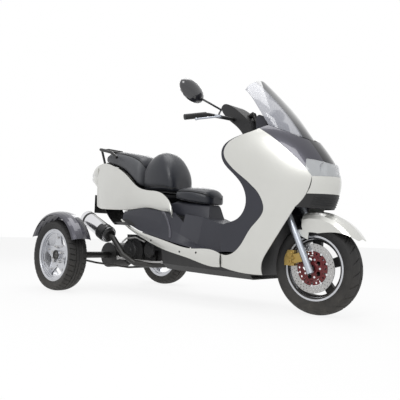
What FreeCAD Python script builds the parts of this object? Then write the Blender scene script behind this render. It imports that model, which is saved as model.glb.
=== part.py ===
"""Motor trike: a scooter-bodied three-wheeler, one wheel in front and two behind.

X points forward, Y to the rider's left, Z up, in millimetres.  Inside this file every
place is measured from the middle of the rear axle line on the ground; save() moves each
piece so that the origin is the middle of the footprint.
"""
import FreeCAD, Part
import os
from math import cos, radians, sin, sqrt

V = FreeCAD.Vector

# ---- driving dimensions -------------------------------------------------------------
WHEELBASE = 1732.0
TRACK = 1004.0            # between the middles of the two rear tyres
FRONT_TYRE_R = 249.0
FRONT_TYRE_W = 118.0
FRONT_FLANGE_R = 175.0
REAR_TYRE_R = 243.0
REAR_TYRE_W = 135.0
REAR_FLANGE_R = 179.0
FRONT_RIM_W = 84.0
REAR_RIM_W = 104.0
RIM_WALL = 6.0
TYRE_WALL = 11.0
TAIL_END = -307.0         # rearmost point of the tail lamp
RAKE = 25.0               # steering axis, degrees from upright
FORK_OFFSET = 30.0        # fork legs ahead of the steering axis
FORK_SPREAD = 90.0        # from the middle plane to a fork leg
FORK_R = 19.0
STEM_R = 14.0
AXLE_R = 8.0              # front axle
STUB_R = 12.5             # rear stub axles
FIT = 0.05                # radial running clearance
SEAM = 0.6                # gap between two body panels
SKIN = 4.0                # thickness of a body panel
BEAM_R = 23.0             # rear axle beam
FENDER_LIP_R = 275.0
FENDER_CROWN_R = 303.0
FENDER_HALF_W = 75.0
FENDER_FRONT_DEG = 23.0
FENDER_REAR_DEG = 155.0
FENDER_WALL = 3.0
DISC_R = 132.0
DISC_Y = -54.0
HINGE_X = 716.0           # seat hinge
HINGE_Z = 672.0
HINGE_PIN_R = 5.0
BIN_HALF_W = 140.0
BIN_WALL = 3.0
FRONT_SKIN_X = 1240.0     # where the front skin's sides run straight

RACK_X = -107.0           # carrier plate's bolt pattern
RACK_HOLE_SPREAD = 100.0
RACK_HOLE_DEPTH = 40.0
RACK_HOLE_R = 4.25
HUB_PLATE_R = 60.0

MID_X = (WHEELBASE + FRONT_TYRE_R + TAIL_END) / 2
RAIL_R = 16.0
RAIL_Z = 606.0            # seat rails under the bin
SEAT_CROSS_Z = 590.0      # cross tube under the seat hinge


# ---- helpers ------------------------------------------------------------------------
def save(name, shape):
    """Write one piece, moved so that the footprint's middle is the origin."""
    piece = shape.removeSplitter() if len(shape.Solids) == 1 else shape
    piece = piece.copy()
    piece.translate(V(-MID_X, 0, 0))
    if not piece.isValid() or piece.Volume <= 0:
        print("CHECK", name, piece.isValid(), round(piece.Volume))
    piece.exportStep("parts/" + name + ".step")
    print(name, len(piece.Solids), round(piece.Volume / 1000))


def fuse(*shapes):
    """Join shapes into one."""
    return shapes[0].multiFuse(list(shapes[1:])).removeSplitter()


def cut_clear(shape, lower, rise=0.3):
    """Cut a piece to sit just above the one that carries it."""
    lifted = lower.copy()
    lifted.translate(V(0, 0, rise))
    return shape.cut(lower).cut(lifted)


def mirrored(shape):
    """The same shape on the other side of the middle plane."""
    return shape.mirror(V(0, 0, 0), V(0, 1, 0))


def run(points):
    """A straight edge through two points, or a smooth one through more."""
    if len(points) == 2:
        return Part.LineSegment(points[0], points[1]).toShape()
    curve = Part.BSplineCurve()
    curve.interpolate(points)
    return curve.toShape()


def outline(*runs):
    """A closed side-view face: each run is a list of (x, z), one starting where the last ended."""
    edges = [run([V(x, 0, z) for x, z in points]) for points in runs]
    return Part.Face(Part.Wire(edges))


def prism(face, y0, y1):
    """A side-view face carried from y0 to y1."""
    base = face.copy()
    base.translate(V(0, y0, 0))
    return base.extrude(V(0, y1 - y0, 0))


def polygon(points):
    """A closed side-view face with straight sides."""
    corners = [V(x, 0, z) for x, z in points]
    return Part.Face(Part.makePolygon(corners + corners[:1]))


def box(x0, x1, y0, y1, z0, z1):
    return Part.makeBox(x1 - x0, y1 - y0, z1 - z0, V(x0, y0, z0))


def rod(a, b, r):
    """A round bar from point a to point b."""
    a, b = V(*a), V(*b)
    return Part.makeCylinder(r, (b - a).Length, a, b - a)


def bent_tube(points, r):
    """Round tube through the points, with a ball at each bend."""
    pieces = [rod(a, b, r) for a, b in zip(points, points[1:])]
    pieces += [Part.makeSphere(r, V(*p)) for p in points[1:-1]]
    return fuse(*pieces)


def ring(profile, centre_x, centre_z, y_mid, start=0.0, sweep=360.0):
    """Turn a profile of (y, r) about a wheel axis; angles run from forward, upwards."""
    points = [V(centre_x + r, y_mid + y, centre_z) for y, r in profile]
    face = Part.Face(Part.makePolygon(points + points[:1]))
    axis_point = V(centre_x, 0, centre_z)
    turned = face.revolve(axis_point, V(0, -1, 0), sweep)
    if start:
        turned.rotate(axis_point, V(0, -1, 0), start)
    return turned


def loft(sections, ruled=False):
    """A solid through closed sections, each a list of runs of points."""
    wires = [Part.Wire([run(points) for points in runs]) for runs in sections]
    return Part.makeLoft(wires, True, ruled)


def side_patch(rows, wall):
    """A curved panel on the right side: rows of (x, y, z), with its wall inwards along Y."""
    outer = [[V(*p) for p in row] for row in rows]
    inner = [[V(x, y + wall, z) for x, y, z in row] for row in rows]
    return closed_patch(outer, inner)


def closed_patch(outer, inner):
    """The solid between two grids of points."""
    surfaces = []
    for grid in (outer, inner):
        surface = Part.BSplineSurface()
        surface.interpolate(grid)
        surfaces.append(surface)
    faces = [surface.toShape() for surface in surfaces]
    borders = []
    for surface in surfaces:
        u0, u1, v0, v1 = surface.bounds()
        borders.append([surface.uIso(u0), surface.vIso(v1), surface.uIso(u1), surface.vIso(v0)])
    for a, b in zip(*borders):
        faces.append(Part.makeRuledSurface(a.toShape(), b.toShape()))
    shell = Part.Shell(faces)
    shell.sewShape()
    solid = Part.Solid(shell)
    if solid.Volume < 0:
        solid.reverse()
    return solid


# ---- steering geometry --------------------------------------------------------------
def on_steering_axis(t):
    """Point t along the steering axis, from its foot beside the front axle."""
    foot_x = WHEELBASE - FORK_OFFSET * cos(radians(RAKE))
    foot_z = FRONT_TYRE_R - FORK_OFFSET * sin(radians(RAKE))
    return (foot_x - t * sin(radians(RAKE)), 0, foot_z + t * cos(radians(RAKE)))


def on_fork(t, y):
    """Point t up a fork leg from the front axle."""
    return (WHEELBASE - t * sin(radians(RAKE)), y, FRONT_TYRE_R + t * cos(radians(RAKE)))


HEAD_LOW = 440.0
HEAD_HIGH = 640.0
HEAD_R = 26.0
STEM_TOP = 1010.0          # along the steering axis
YOKE_T = HEAD_LOW - 22.0


# ---- wheels -------------------------------------------------------------------------
def rim_shell(centre_x, centre_z, y_mid, flange_r, rim_w):
    """The barrel of a cast wheel, with its flanges."""
    h = rim_w / 2
    seat = flange_r - 13
    well = seat - 12
    profile = [(-h, flange_r), (-h + 4, flange_r), (-h + 6, seat), (-h + 18, seat), (-h + 24, well),
               (h - 24, well), (h - 18, seat), (h - 6, seat), (h - 4, flange_r), (h, flange_r),
               (h, flange_r - 4), (h - 1, seat - RIM_WALL), (h - 19, seat - RIM_WALL),
               (h - 25, well - RIM_WALL), (-h + 25, well - RIM_WALL), (-h + 19, seat - RIM_WALL),
               (-h + 1, seat - RIM_WALL), (-h, flange_r - 4)]
    return ring(profile, centre_x, centre_z, y_mid)


def tyre(centre_x, centre_z, y_mid, tyre_r, tyre_w, flange_r, rim_w):
    """A tubeless tyre: open towards the rim, beads seated inside the flanges."""
    h = rim_w / 2
    seat = flange_r - 13
    w = tyre_w / 2
    bulge_r = (seat + tyre_r) / 2
    in_w = w - TYRE_WALL
    axis = V(centre_x, 0, centre_z)

    def at(y, r):
        return V(centre_x + r, y_mid + y, centre_z)

    right = [at(-h + 6.2, seat + 0.2), at(-h + 6.2, flange_r - 4), at(-h + 1, flange_r + 6),
             at(-w, bulge_r + 4), at(-w + 8, tyre_r - 22), at(-w * 0.55, tyre_r - 4), at(0, tyre_r)]
    left = [at(-(p.y - y_mid), p.x - centre_x) for p in reversed(right)]
    inner_right = [at(-h + 17, seat + 0.2), at(-h + 16, flange_r + 2), at(-in_w, bulge_r + 4),
                   at(-in_w * 0.55, tyre_r - 4 - TYRE_WALL), at(0, tyre_r - TYRE_WALL)]
    inner_left = [at(-(p.y - y_mid), p.x - centre_x) for p in reversed(inner_right)]
    edges = [run(right[:2]), run(right[1:] + left[1:-1]), run(left[-2:]),
             run([left[-1], inner_left[-1]]),
             run(inner_left[::-1] + inner_right[-2::-1]),
             run([inner_right[0], right[0]])]
    face = Part.Face(Part.Wire(edges))
    return face.revolve(axis, V(0, -1, 0), 360)


def hub(centre_x, centre_z, y0, y1, r, bore_r):
    """A hub barrel with its bearing bore."""
    body = rod((centre_x, y0, centre_z), (centre_x, y1, centre_z), r)
    return body.cut(rod((centre_x, y0 - 1, centre_z), (centre_x, y1 + 1, centre_z), bore_r))


def spokes(centre_x, centre_z, y_mid, count, inner_r, outer_r, half_foot, half_tip, thick):
    """Flat tapered spokes from the hub out to the barrel."""
    bars = []
    for k in range(count):
        corners = [V(centre_x - half_foot, y_mid - thick / 2, centre_z + inner_r),
                   V(centre_x + half_foot, y_mid - thick / 2, centre_z + inner_r),
                   V(centre_x + half_tip, y_mid - thick / 2, centre_z + outer_r),
                   V(centre_x - half_tip, y_mid - thick / 2, centre_z + outer_r)]
        bar = Part.Face(Part.makePolygon(corners + corners[:1])).extrude(V(0, thick, 0))
        bar.rotate(V(centre_x, 0, centre_z), V(0, 1, 0), 360.0 * k / count)
        bars.append(bar)
    return bars


def front_rim():
    barrel = rim_shell(WHEELBASE, FRONT_TYRE_R, 0, FRONT_FLANGE_R, FRONT_RIM_W)
    centre = hub(WHEELBASE, FRONT_TYRE_R, -44, 60, 30, AXLE_R + FIT)
    reach = FRONT_FLANGE_R - 13 - 12 - RIM_WALL + 3
    arms = spokes(WHEELBASE, FRONT_TYRE_R, 2, 5, 20, reach, 20, 26, 24)
    centre = fuse(centre, *arms).cut(rod((WHEELBASE, -60, FRONT_TYRE_R), (WHEELBASE, 70, FRONT_TYRE_R),
                                         AXLE_R + FIT))
    return fuse(barrel, centre)


def rear_rim(side):
    """Deep-dish cast wheel with a five-pointed centre plate."""
    y_mid = side * TRACK / 2
    barrel = rim_shell(0, REAR_TYRE_R, y_mid, REAR_FLANGE_R, REAR_RIM_W)
    reach = REAR_FLANGE_R - 13 - 12 - RIM_WALL + 3
    star_y = y_mid + side * 8
    arms = spokes(0, REAR_TYRE_R, star_y, 5, 55, reach, 46, 17, 14)
    plate = rod((0, star_y - 7, REAR_TYRE_R), (0, star_y + 7, REAR_TYRE_R), 86)
    boss = rod((0, y_mid - side * 30, REAR_TYRE_R), (0, y_mid + side * 30, REAR_TYRE_R), 34)
    wheel = fuse(barrel, plate, boss, *arms)
    bore = rod((0, y_mid - 80, REAR_TYRE_R), (0, y_mid + 80, REAR_TYRE_R), STUB_R + FIT)
    return wheel.cut(bore)


def brake_disc():
    """Front disc on its carrier, bolted to the hub's right end."""
    rotor = rod((WHEELBASE, DISC_Y - 2.5, FRONT_TYRE_R), (WHEELBASE, DISC_Y + 2.5, FRONT_TYRE_R), DISC_R)
    rotor = rotor.cut(rod((WHEELBASE, DISC_Y - 9, FRONT_TYRE_R), (WHEELBASE, DISC_Y + 9, FRONT_TYRE_R), 92))
    carrier = rod((WHEELBASE, DISC_Y - 3, FRONT_TYRE_R), (WHEELBASE, DISC_Y + 3, FRONT_TYRE_R), 94)
    seat = rod((WHEELBASE, DISC_Y, FRONT_TYRE_R), (WHEELBASE, -44.2, FRONT_TYRE_R), 28)
    bore = rod((WHEELBASE, DISC_Y - 9, FRONT_TYRE_R), (WHEELBASE, -40, FRONT_TYRE_R), 18)
    return fuse(rotor, carrier, seat).cut(bore)


# ---- front end ----------------------------------------------------------------------
def steering_stem():
    """Stem in the head tube, lower yoke and the riser that carries the bars."""
    stem = rod(on_steering_axis(YOKE_T), on_steering_axis(STEM_TOP), STEM_R)
    yoke_low = on_fork(YOKE_T - 14, 0)
    yoke = rod(on_steering_axis(YOKE_T - 14), on_steering_axis(YOKE_T + 14), 24)
    bar = rod((yoke_low[0], -FORK_SPREAD, yoke_low[2] + 13), (yoke_low[0], FORK_SPREAD, yoke_low[2] + 13), 15)
    web = rod(on_steering_axis(YOKE_T), on_fork(YOKE_T, 0), 13)
    solid = fuse(stem, yoke, bar, web)
    for y in (-FORK_SPREAD, FORK_SPREAD):
        solid = solid.cut(rod(on_fork(YOKE_T - 60, y), on_fork(YOKE_T + 60, y), FORK_R + FIT / 2))
    return solid


def fork_legs():
    """Two telescopic legs, with the axle between their feet."""
    legs = []
    for y in (-FORK_SPREAD, FORK_SPREAD):
        legs.append(rod(on_fork(-28, y), on_fork(YOKE_T + 22, y), FORK_R))
    axle = rod((WHEELBASE, -FORK_SPREAD, FRONT_TYRE_R), (WHEELBASE, FORK_SPREAD, FRONT_TYRE_R), AXLE_R)
    return fuse(*legs, axle)


def front_mudguard():
    """Guard over the front tyre, ahead of the fork legs."""
    half = 78.0
    wall = 3.0
    outer = [(-half, 190), (-half, 262), (-half + 12, 282), (-half + 34, 296), (0, 303),
             (half - 34, 296), (half - 12, 282), (half, 262), (half, 190)]
    inner = [(half - wall, 190), (half - wall, 260), (half - 14, 279), (half - 35, 293), (0, 300),
             (-half + 35, 293), (-half + 14, 279), (-half + wall, 260), (-half + wall, 190)]
    shell = ring(outer + inner, WHEELBASE, FRONT_TYRE_R, 0, 20, 110)
    keep = outline([(1676, 640), (1676, 470), ], [(1676, 470), (1690, 430)],
                   [(1690, 430), (1790, 436), (1870, 440), (1985, 400)],
                   [(1985, 400), (2010, 640)], [(2010, 640), (1676, 640)])
    guard = shell.common(prism(keep, -100, 100))
    tabs = []
    for side in (-1, 1):
        y = side * (half - wall)
        face = polygon([(1648, 452), (1660, 424), (1716, 400), (1722, 452)])
        tab = prism(face, min(y, y + side * wall), max(y, y + side * wall))
        tabs.append(tab)
    return fuse(guard, *tabs).cut(fork_legs())


def brake_caliper():
    """Caliper over the rear of the disc, on its bracket from the fork leg."""
    block = box(WHEELBASE - 160, WHEELBASE - 98, DISC_Y - 26, DISC_Y + 6, FRONT_TYRE_R + 8,
                FRONT_TYRE_R + 92)
    reach = rod((WHEELBASE, -120, FRONT_TYRE_R), (WHEELBASE, 0, FRONT_TYRE_R), FRONT_FLANGE_R - 8)
    slot = rod((WHEELBASE, DISC_Y - 7, FRONT_TYRE_R), (WHEELBASE, DISC_Y + 7, FRONT_TYRE_R), DISC_R + 6)
    block = block.common(reach).cut(slot)
    arm = polygon([(WHEELBASE - 100, FRONT_TYRE_R + 20), (WHEELBASE - 100, FRONT_TYRE_R + 70),
                   (WHEELBASE - 22, FRONT_TYRE_R + 90), (WHEELBASE - 22, FRONT_TYRE_R + 40)])
    bracket = prism(arm, -FORK_SPREAD + 6, -FORK_SPREAD + 22)
    part = fuse(block, bracket)
    return part.cut(rod(on_fork(-60, -FORK_SPREAD), on_fork(300, -FORK_SPREAD), FORK_R + 0.3))


BAR_R = 11.0
GRIP_R = 17.0
GRIP_IN = (1115.0, 235.0, 1128.0)
GRIP_OUT = (1052.0, 362.0, 1098.0)


def side_point(point, side):
    return (point[0], side * point[1], point[2])


def handlebar(extra=0.0):
    """Bar from grip to grip, clamped on the stem's top."""
    top = on_steering_axis(STEM_TOP)
    bends = [side_point(GRIP_OUT, 1), side_point(GRIP_IN, 1), (1180, 90, 1118), (1180, -90, 1118),
             side_point(GRIP_IN, -1), side_point(GRIP_OUT, -1)]
    bar = bent_tube(bends, BAR_R + extra)
    post = rod(top, (1180, 0, 1118), 16 + extra)
    return fuse(bar, post).cut(steering_stem())


def grips():
    """Two rubber grips on the bar's ends."""
    pair = []
    for side in (-1, 1):
        a, b = V(*side_point(GRIP_IN, side)), V(*side_point(GRIP_OUT, side))
        way = (b - a).normalize()
        start = a + way * 12
        end = b + way * 6
        grip = rod(tuple(start), tuple(end), GRIP_R)
        pair.append(grip)
    bar = handlebar(0.2)
    return Part.makeCompound([grip.cut(bar) for grip in pair])


def brake_levers():
    """A lever ahead of each grip, with a ball at its tip."""
    pair = []
    for side in (-1, 1):
        a = V(*side_point((1190, 205, 1112), side))
        b = V(*side_point((1115, 335, 1082), side))
        lever = fuse(rod(tuple(a), tuple(b), 5), Part.makeSphere(8, b))
        perch = rod(side_point((1134, 196, 1124), side), tuple(a), 9)
        pair.append(fuse(lever, perch))
    bar = handlebar(0.2)
    return Part.makeCompound([lever.cut(bar) for lever in pair])


def handlebar_cover():
    """Moulded cover round the bar's middle and the stem's top."""
    face = outline([(1262, 1000), (1320, 1030)], [(1320, 1030), (1300, 1085), (1235, 1150), (1150, 1212),
                                                  (1095, 1226), (1075, 1205)],
                   [(1075, 1205), (1110, 1150), (1195, 1080), (1262, 1000)])
    body = prism(face, -70, 70)
    body = body.cut(handlebar(0.2)).cut(steering_stem())
    return body


def mirror(side):
    """Teardrop mirror head on its stalk."""
    centre = V(*side_point((1150, 415, 1225), side))
    head = Part.makeSphere(1.0)
    scale = FreeCAD.Matrix()
    scale.scale(42, 96, 56)
    head = head.transformGeometry(scale)
    head.rotate(V(0, 0, 0), V(1, 0, 0), side * 22)
    head.translate(centre)
    bends = [side_point((1150, 178, 1134), side), side_point((1196, 210, 1150), side),
             side_point((1180, 300, 1175), side), side_point((1150, 352, 1200), side)]
    stalk = bent_tube(bends, 6)
    return fuse(head, stalk).cut(handlebar())


# ---- front body skin ----------------------------------------------------------------
FRONT_SECTIONS = [(180, 222, 1640), (330, 232, 1720), (480, 238, 1780), (600, 248, 1828),
                  (720, 262, 1852), (820, 272, 1808), (900, 272, 1750), (970, 258, 1690), (1040, 215, 1610)]


def front_solid(inset):
    """The front body's outer form, or the same form shrunk by an inset."""
    sections = []
    back = FRONT_SKIN_X - inset
    for z, half, nose in FRONT_SECTIONS:
        w, reach = half - inset, nose - inset - FRONT_SKIN_X
        turns = [radians(a) for a in range(-90, 91, 18)]
        curve = [V(FRONT_SKIN_X + reach * cos(a), w * sin(a), z) for a in turns]
        corner_r, corner_l = V(back, -w, z), V(back, w, z)
        closed = [curve, [curve[-1], curve[0]]]
        deep = [[corner_r, curve[0]], curve, [curve[-1], corner_l], [corner_l, corner_r]]
        sections.append(deep if inset else closed)
    return loft(sections)


def panel_outline():
    """Side view of a front side panel, from the leg shield's edge to the headlamp."""
    rear = [(1471, 1008), (1366, 968), (1291, 918), (1279, 882), (1313, 814), (1391, 744), (1462, 682)]
    notch = [(1462, 682), (1512, 610), (1520, 560), (1442, 454), (1372, 353), (1313, 307), (1241, 304)]
    foot = [(1241, 304), (1241, 232)]
    low = [(1241, 232), (1380, 206), (1494, 200)]
    front = [(1494, 200), (1502, 280), (1535, 338), (1609, 456), (1681, 569)]
    cheek = [(1681, 569), (1740, 640), (1768, 731)]
    top = [(1768, 731), (1715, 803), (1633, 885), (1553, 953), (1471, 1008)]
    return outline(rear, notch, foot, low, front, cheek, top)


def cowl_outline():
    """Side view of the centre cowl between the side panels and the screen."""
    side = [(1471, 1009), (1553, 954), (1633, 886), (1715, 804), (1736, 777)]
    lamp = [(1736, 777), (1733, 826)]
    brow = [(1733, 826), (1780, 818), (1830, 800)]
    bonnet = [(1830, 800), (1840, 880)]
    crown = [(1840, 880), (1760, 930)]
    seam = [(1760, 930), (1692, 944.6), (1638, 969.6), (1572, 998.6), (1506, 1027.6)]
    back = [(1506, 1027.6), (1471, 1009)]
    return outline(side, lamp, brow, bonnet, crown, seam, back)


def lamp_outline():
    brow = [(1733.6, 825.4), (1780, 817.3), (1830, 799.3)]
    low = [(1769, 731), (1890, 735)]
    side = [(1769, 731), (1737, 776.5)]
    return outline(brow, [(1830, 799.3), (1890, 760)], [(1890, 760), (1890, 735)], low[::-1], side,
                   [(1737, 776.5), (1733.6, 825.4)])


def nose_outline():
    return outline([(1769, 730.3), (1890, 734.3)], [(1890, 734.3), (1890, 640)], [(1890, 640), (1742, 640)],
                   [(1742, 640), (1762, 680), (1769, 730.3)])


def grille_outline():
    return outline([(1742, 639.3), (1890, 639.3)], [(1890, 639.3), (1890, 560)], [(1890, 560), (1683, 569)],
                   [(1683, 569), (1742, 639.3)])


def front_panels(skin):
    """Every piece of the front skin, cut from it along its side-view outline."""
    pieces = {}
    side_face = panel_outline()
    right = skin.common(prism(side_face, -400, -20))
    pieces["front_panel_right"] = right
    pieces["front_panel_left"] = mirrored(right)
    sides = prism(side_face, -400, 400)
    centre = {"front_cowl": cowl_outline(), "headlamp": lamp_outline(), "nose_panel": nose_outline(),
              "nose_grille": grille_outline()}
    for name, face in centre.items():
        pieces[name] = skin.common(prism(face, -400, 400)).cut(sides)
    return pieces


SHIELD_WALL = 5.0


def shield_outline(inset):
    """Side view of the leg shield: its rear edge, then forward inside the side panels."""
    i = inset
    rear = [(1470 + i, 1000 - i), (1330 + i, 960 - i), (1262 + i, 905), (1262 + i, 850), (1330 + i, 765),
            (1400 + i, 680), (1412 + i, 590), (1345 + i, 500), (1250 + i, 470), (1218 + i, 440)]
    foot = [(1218 + i, 440), (1218 + i, 318)]
    low = [(1218 + i, 318)]
    front = [(1330, 318), (1400, 370), (1470, 454), (1545, 560), (1530, 640), (1475, 705), (1400, 770),
             (1340, 830), (1320, 880), (1390, 940), (1490, 985)]
    ahead = [(x + 6 * i, z) for x, z in front]
    return outline(rear, foot, [low[0], ahead[0]], ahead, [ahead[-1], rear[0]])


def leg_shield():
    """Inner panel that faces the rider, with walls that wrap forward into the skin."""
    fits = SKIN + SEAM
    outer = front_solid(fits).common(prism(shield_outline(0), -400, 400))
    hollow = front_solid(fits + SHIELD_WALL).common(prism(shield_outline(SHIELD_WALL), -400, 400))
    passage = box(1200, 1320, -84, 84, 300, 458)
    well = rod(on_steering_axis(700), on_steering_axis(STEM_TOP), 48)
    return outer.cut(hollow).cut(passage).cut(well)


SCREEN_ROWS = [
    [(1692, 0, 946), (1640, 80, 971), (1574, 130, 1000), (1510, 160, 1030)],
    [(1602, 0, 1060), (1572, 82, 1074), (1524, 136, 1092), (1462, 168, 1106)],
    [(1484, 0, 1196), (1462, 78, 1202), (1428, 124, 1206), (1384, 152, 1206)],
    [(1345, 0, 1342), (1337, 50, 1334), (1322, 90, 1312), (1304, 118, 1276)],
]
SCREEN_WALL = 4.0


def windshield():
    """Curved screen that rises from the cowl, mirrored about the middle plane."""
    lean = radians(40)
    rows = [[(x, -y, z) for x, y, z in reversed(row[1:])] + row for row in SCREEN_ROWS]
    outer = [[V(*p) for p in row] for row in rows]
    step = V(-SCREEN_WALL * cos(lean), 0, -SCREEN_WALL * sin(lean))
    inner = [[p + step for p in row] for row in outer]
    return closed_patch(outer, inner)


def instrument_cluster():
    """Meter hood behind the screen."""
    face = outline([(1388, 970), (1388, 1088)], [(1388, 1088), (1400, 1106), (1430, 1100), (1456, 1064)],
                   [(1456, 1064), (1476, 1004)], [(1476, 1004), (1470, 990)], [(1470, 990), (1388, 970)])
    below = prism(shield_outline(0), -130, 130)
    return cut_clear(prism(face, -120, 120), below)


def inner_fender():
    """Black splash wall behind and above the front wheel."""
    back = [(1424, 190), (1444, 300), (1466, 420), (1480, 500), (1484, 545)]
    front = [(x + 4, z) for x, z in reversed(back)]
    face = outline(back, [back[-1], front[0]], front, [front[-1], back[0]])
    sheet = prism(face, -205, 205)
    return sheet.common(front_solid(SKIN + SEAM + SHIELD_WALL + 1.5 * SEAM))


# ---- middle and tail body -----------------------------------------------------------
FLOOR_SECTIONS = [   # x, then (y, z) from the outer edge to the crown
    (300, [(204, 498), (200, 520), (196, 540), (186, 560)]),
    (500, [(216, 428), (212, 452), (202, 520), (184, 582)]),
    (700, [(224, 384), (219, 402), (206, 480), (184, 556)]),
    (860, [(228, 354), (224, 364), (190, 410), (150, 540)]),
    (980, [(230, 334), (226, 340), (150, 350), (104, 520)]),
    (1080, [(232, 320), (228, 326), (140, 330), (92, 488)]),
    (1216, [(234, 308), (230, 314), (132, 316), (88, 462)]),
]


FLOOR_OPEN_X = 866.0      # behind this the crown is open under the bin


def hat_section(x, points, inset):
    right = [V(x, -(y - inset), z - (inset if k else 12 * (inset > 0))) for k, (y, z) in enumerate(points)]
    left = [V(p.x, -p.y, p.z) for p in reversed(right)]
    corners = right + left
    return [[a, b] for a, b in zip(corners, corners[1:] + corners[:1])]


def floor_tunnel():
    """Footboards and centre tunnel in one moulding, open below."""
    outer = loft([hat_section(x, pts, 0) for x, pts in FLOOR_SECTIONS], True)
    inner_x = {FLOOR_SECTIONS[0][0]: -20, FLOOR_SECTIONS[-1][0]: 20}
    inner = loft([hat_section(x + inner_x.get(x, 0), pts, SKIN) for x, pts in FLOOR_SECTIONS], True)
    shell = outer.cut(inner)
    return shell.cut(box(200, FLOOR_OPEN_X, -165, 165, 300, 700))


MOULDING = [   # x, half width, z of top edge, z of bottom edge
    (296, 206, 506, 494), (350, 210, 480, 456), (471, 217, 431, 404), (600, 222, 400, 358),
    (780, 228, 364, 306), (1000, 233, 326, 264), (1239.4, 236, 304, 229),
]


def side_moulding():
    """Silver sill below the footboard, swept up to a point at the rear."""
    rows = []
    for x, half, top, low in MOULDING:
        rows.append([(x, -half, low), (x, -half - 6, (top + low) / 2), (x, -half - 2, top)])
    return side_patch(rows, SKIN)


SIDE_PANEL = [   # x, half width at the bottom and top edges, z of bottom and top edges
    (-155, 96, 92, 612, 930), (-60, 118, 110, 588, 936), (80, 146, 136, 580, 905), (200, 160, 150, 575, 860),
    (300, 170, 158, 574, 800), (400, 178, 166, 578, 735), (540, 186, 174, 584, 700), (660, 190, 180, 566, 680),
    (730, 192, 186, 556, 640), (790, 192, 190, 512, 540),
]


def side_panel():
    """White tail side cover that tapers to a point ahead of the seat."""
    rows = []
    for x, low_y, top_y, low, top in SIDE_PANEL:
        middle = (low_y + top_y) / 2 + 8
        rows.append([(x, -low_y, low), (x, -middle, (low + top) / 2), (x, -top_y, top)])
    return side_patch(rows, SKIN)


def luggage_bin():
    """Open-topped bin under the seat."""
    base = RAIL_Z + RAIL_R + 0.3
    front = HINGE_X - 26
    face = polygon([(120, 790), (140, base), (front - 26, base), (front, base + 30), (front, 668), (640, 672),
                    (330, 690), (230, 790)])
    inner = polygon([(120 + BIN_WALL, 900), (140 + BIN_WALL, base + BIN_WALL), (front - 28, base + BIN_WALL),
                     (front - BIN_WALL, base + 32), (front - BIN_WALL, 900)])
    outer_solid = prism(face, -BIN_HALF_W, BIN_HALF_W)
    return outer_solid.cut(prism(inner, -BIN_HALF_W + BIN_WALL, BIN_HALF_W - BIN_WALL))


def tail_cowl():
    """Hollow cowl that closes the tail between the side panels."""
    def section(x, half, low, high):
        mid = (low + high) / 2
        return [[V(x, -half, mid), V(x, -half * 0.8, high), V(x, half * 0.8, high), V(x, half, mid),
                 V(x, half * 0.8, low), V(x, -half * 0.8, low), V(x, -half, mid)]]
    outer = loft([section(-270, 60, 800, 900), section(-210, 84, 770, 930), section(-155.4, 92, 740, 936)])
    inner = loft([section(-271, 56, 804, 896), section(-210, 80, 774, 926), section(-154, 88, 744, 932)])
    return outer.cut(inner)


def tail_lamp():
    """Lamp lens across the tail's end."""
    def section(x, half, low, high):
        mid = (low + high) / 2
        return [[V(x, -half, mid), V(x, -half * 0.8, high), V(x, half * 0.8, high), V(x, half, mid),
                 V(x, half * 0.8, low), V(x, -half * 0.8, low), V(x, -half, mid)]]
    return loft([section(TAIL_END, 34, 826, 872), section(-290, 52, 806, 892), section(-270.5, 60, 800, 900)])


# ---- seats --------------------------------------------------------------------------
def cushion(sections):
    """Smooth pad through (x, half width, bottom, top) sections."""
    loops = []
    for x, half, low, high in sections:
        mid = low + (high - low) * 0.45
        loops.append([[V(x, -half * 0.92, low), V(x, half * 0.92, low)],
                      [V(x, half * 0.92, low), V(x, half, mid), V(x, half * 0.72, high - (high - low) * 0.08),
                       V(x, 0, high), V(x, -half * 0.72, high - (high - low) * 0.08), V(x, -half, mid),
                       V(x, -half * 0.92, low)]])
    return loft(loops)


RIDER_SEAT = [   # x, half width, z of bottom and top
    (736, 130, 640, 708), (790, 142, 630, 720), (870, 138, 618, 720), (940, 110, 608, 710), (985, 80, 602, 690),
    (1004, 60, 602, 668),
]


def rider_seat():
    return cushion(RIDER_SEAT)


def backrest_pad():
    pad = cushion([(396, 112, 705, 872), (436, 124, 698, 940), (500, 130, 693, 976), (580, 128, 690, 968),
                   (644, 118, 688, 904), (HINGE_X - 28, 100, 686, 816)])
    return cut_clear(pad, seat_pan())


def pillion_pad():
    pad = cushion([(-60, 102, 944, 1006), (20, 120, 921, 1022), (150, 131, 882, 1014), (270, 140, 816, 990),
                   (350, 140, 752, 960), (388, 130, 720, 925)])
    return cut_clear(pad, seat_pan())


def seat_plinth():
    """Trim box that carries the rider's seat on the tunnel."""
    face = polygon([(HINGE_X + 30, 650), (HINGE_X + 30, 618), (860, 538), (980, 517.5), (996, 512.5),
                    (1000, 620)])
    block = prism(face, -92, 92)
    below = cushion([(x, 200, low, low + 90) for x, half, low, top in RIDER_SEAT])
    tubes = main_frame()
    lowered = rider_seat()
    lowered.translate(V(0, 0, -0.3))
    return block.cut(lowered).cut(below).cut(floor_tunnel()).cut(tubes)


def seat_pan():
    """Base plate under the lid's pads, with its hinge knuckle."""
    top = [(-50, 945), (20, 923), (150, 884), (270, 818), (340, 756), (392, 712), (440, 699), (540, 693.5),
           (HINGE_X - 28, 686)]
    low = [(x, z - 8) for x, z in reversed(top)]
    face = outline(top, [top[-1], low[0]], low, [low[-1], top[0]])
    plate = prism(face, -118, 118).cut(box(-80, 150, 96, 130, 600, 1000)).cut(box(-80, 150, -130, -96, 600, 1000))
    arm = box(HINGE_X - 40, HINGE_X, -30, 30, HINGE_Z - 3, HINGE_Z + 8)
    knuckle = rod((HINGE_X, -30, HINGE_Z), (HINGE_X, 30, HINGE_Z), 10)
    joined = fuse(plate, arm, knuckle)
    return joined.cut(rod((HINGE_X, -40, HINGE_Z), (HINGE_X, 40, HINGE_Z), HINGE_PIN_R + FIT))


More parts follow.
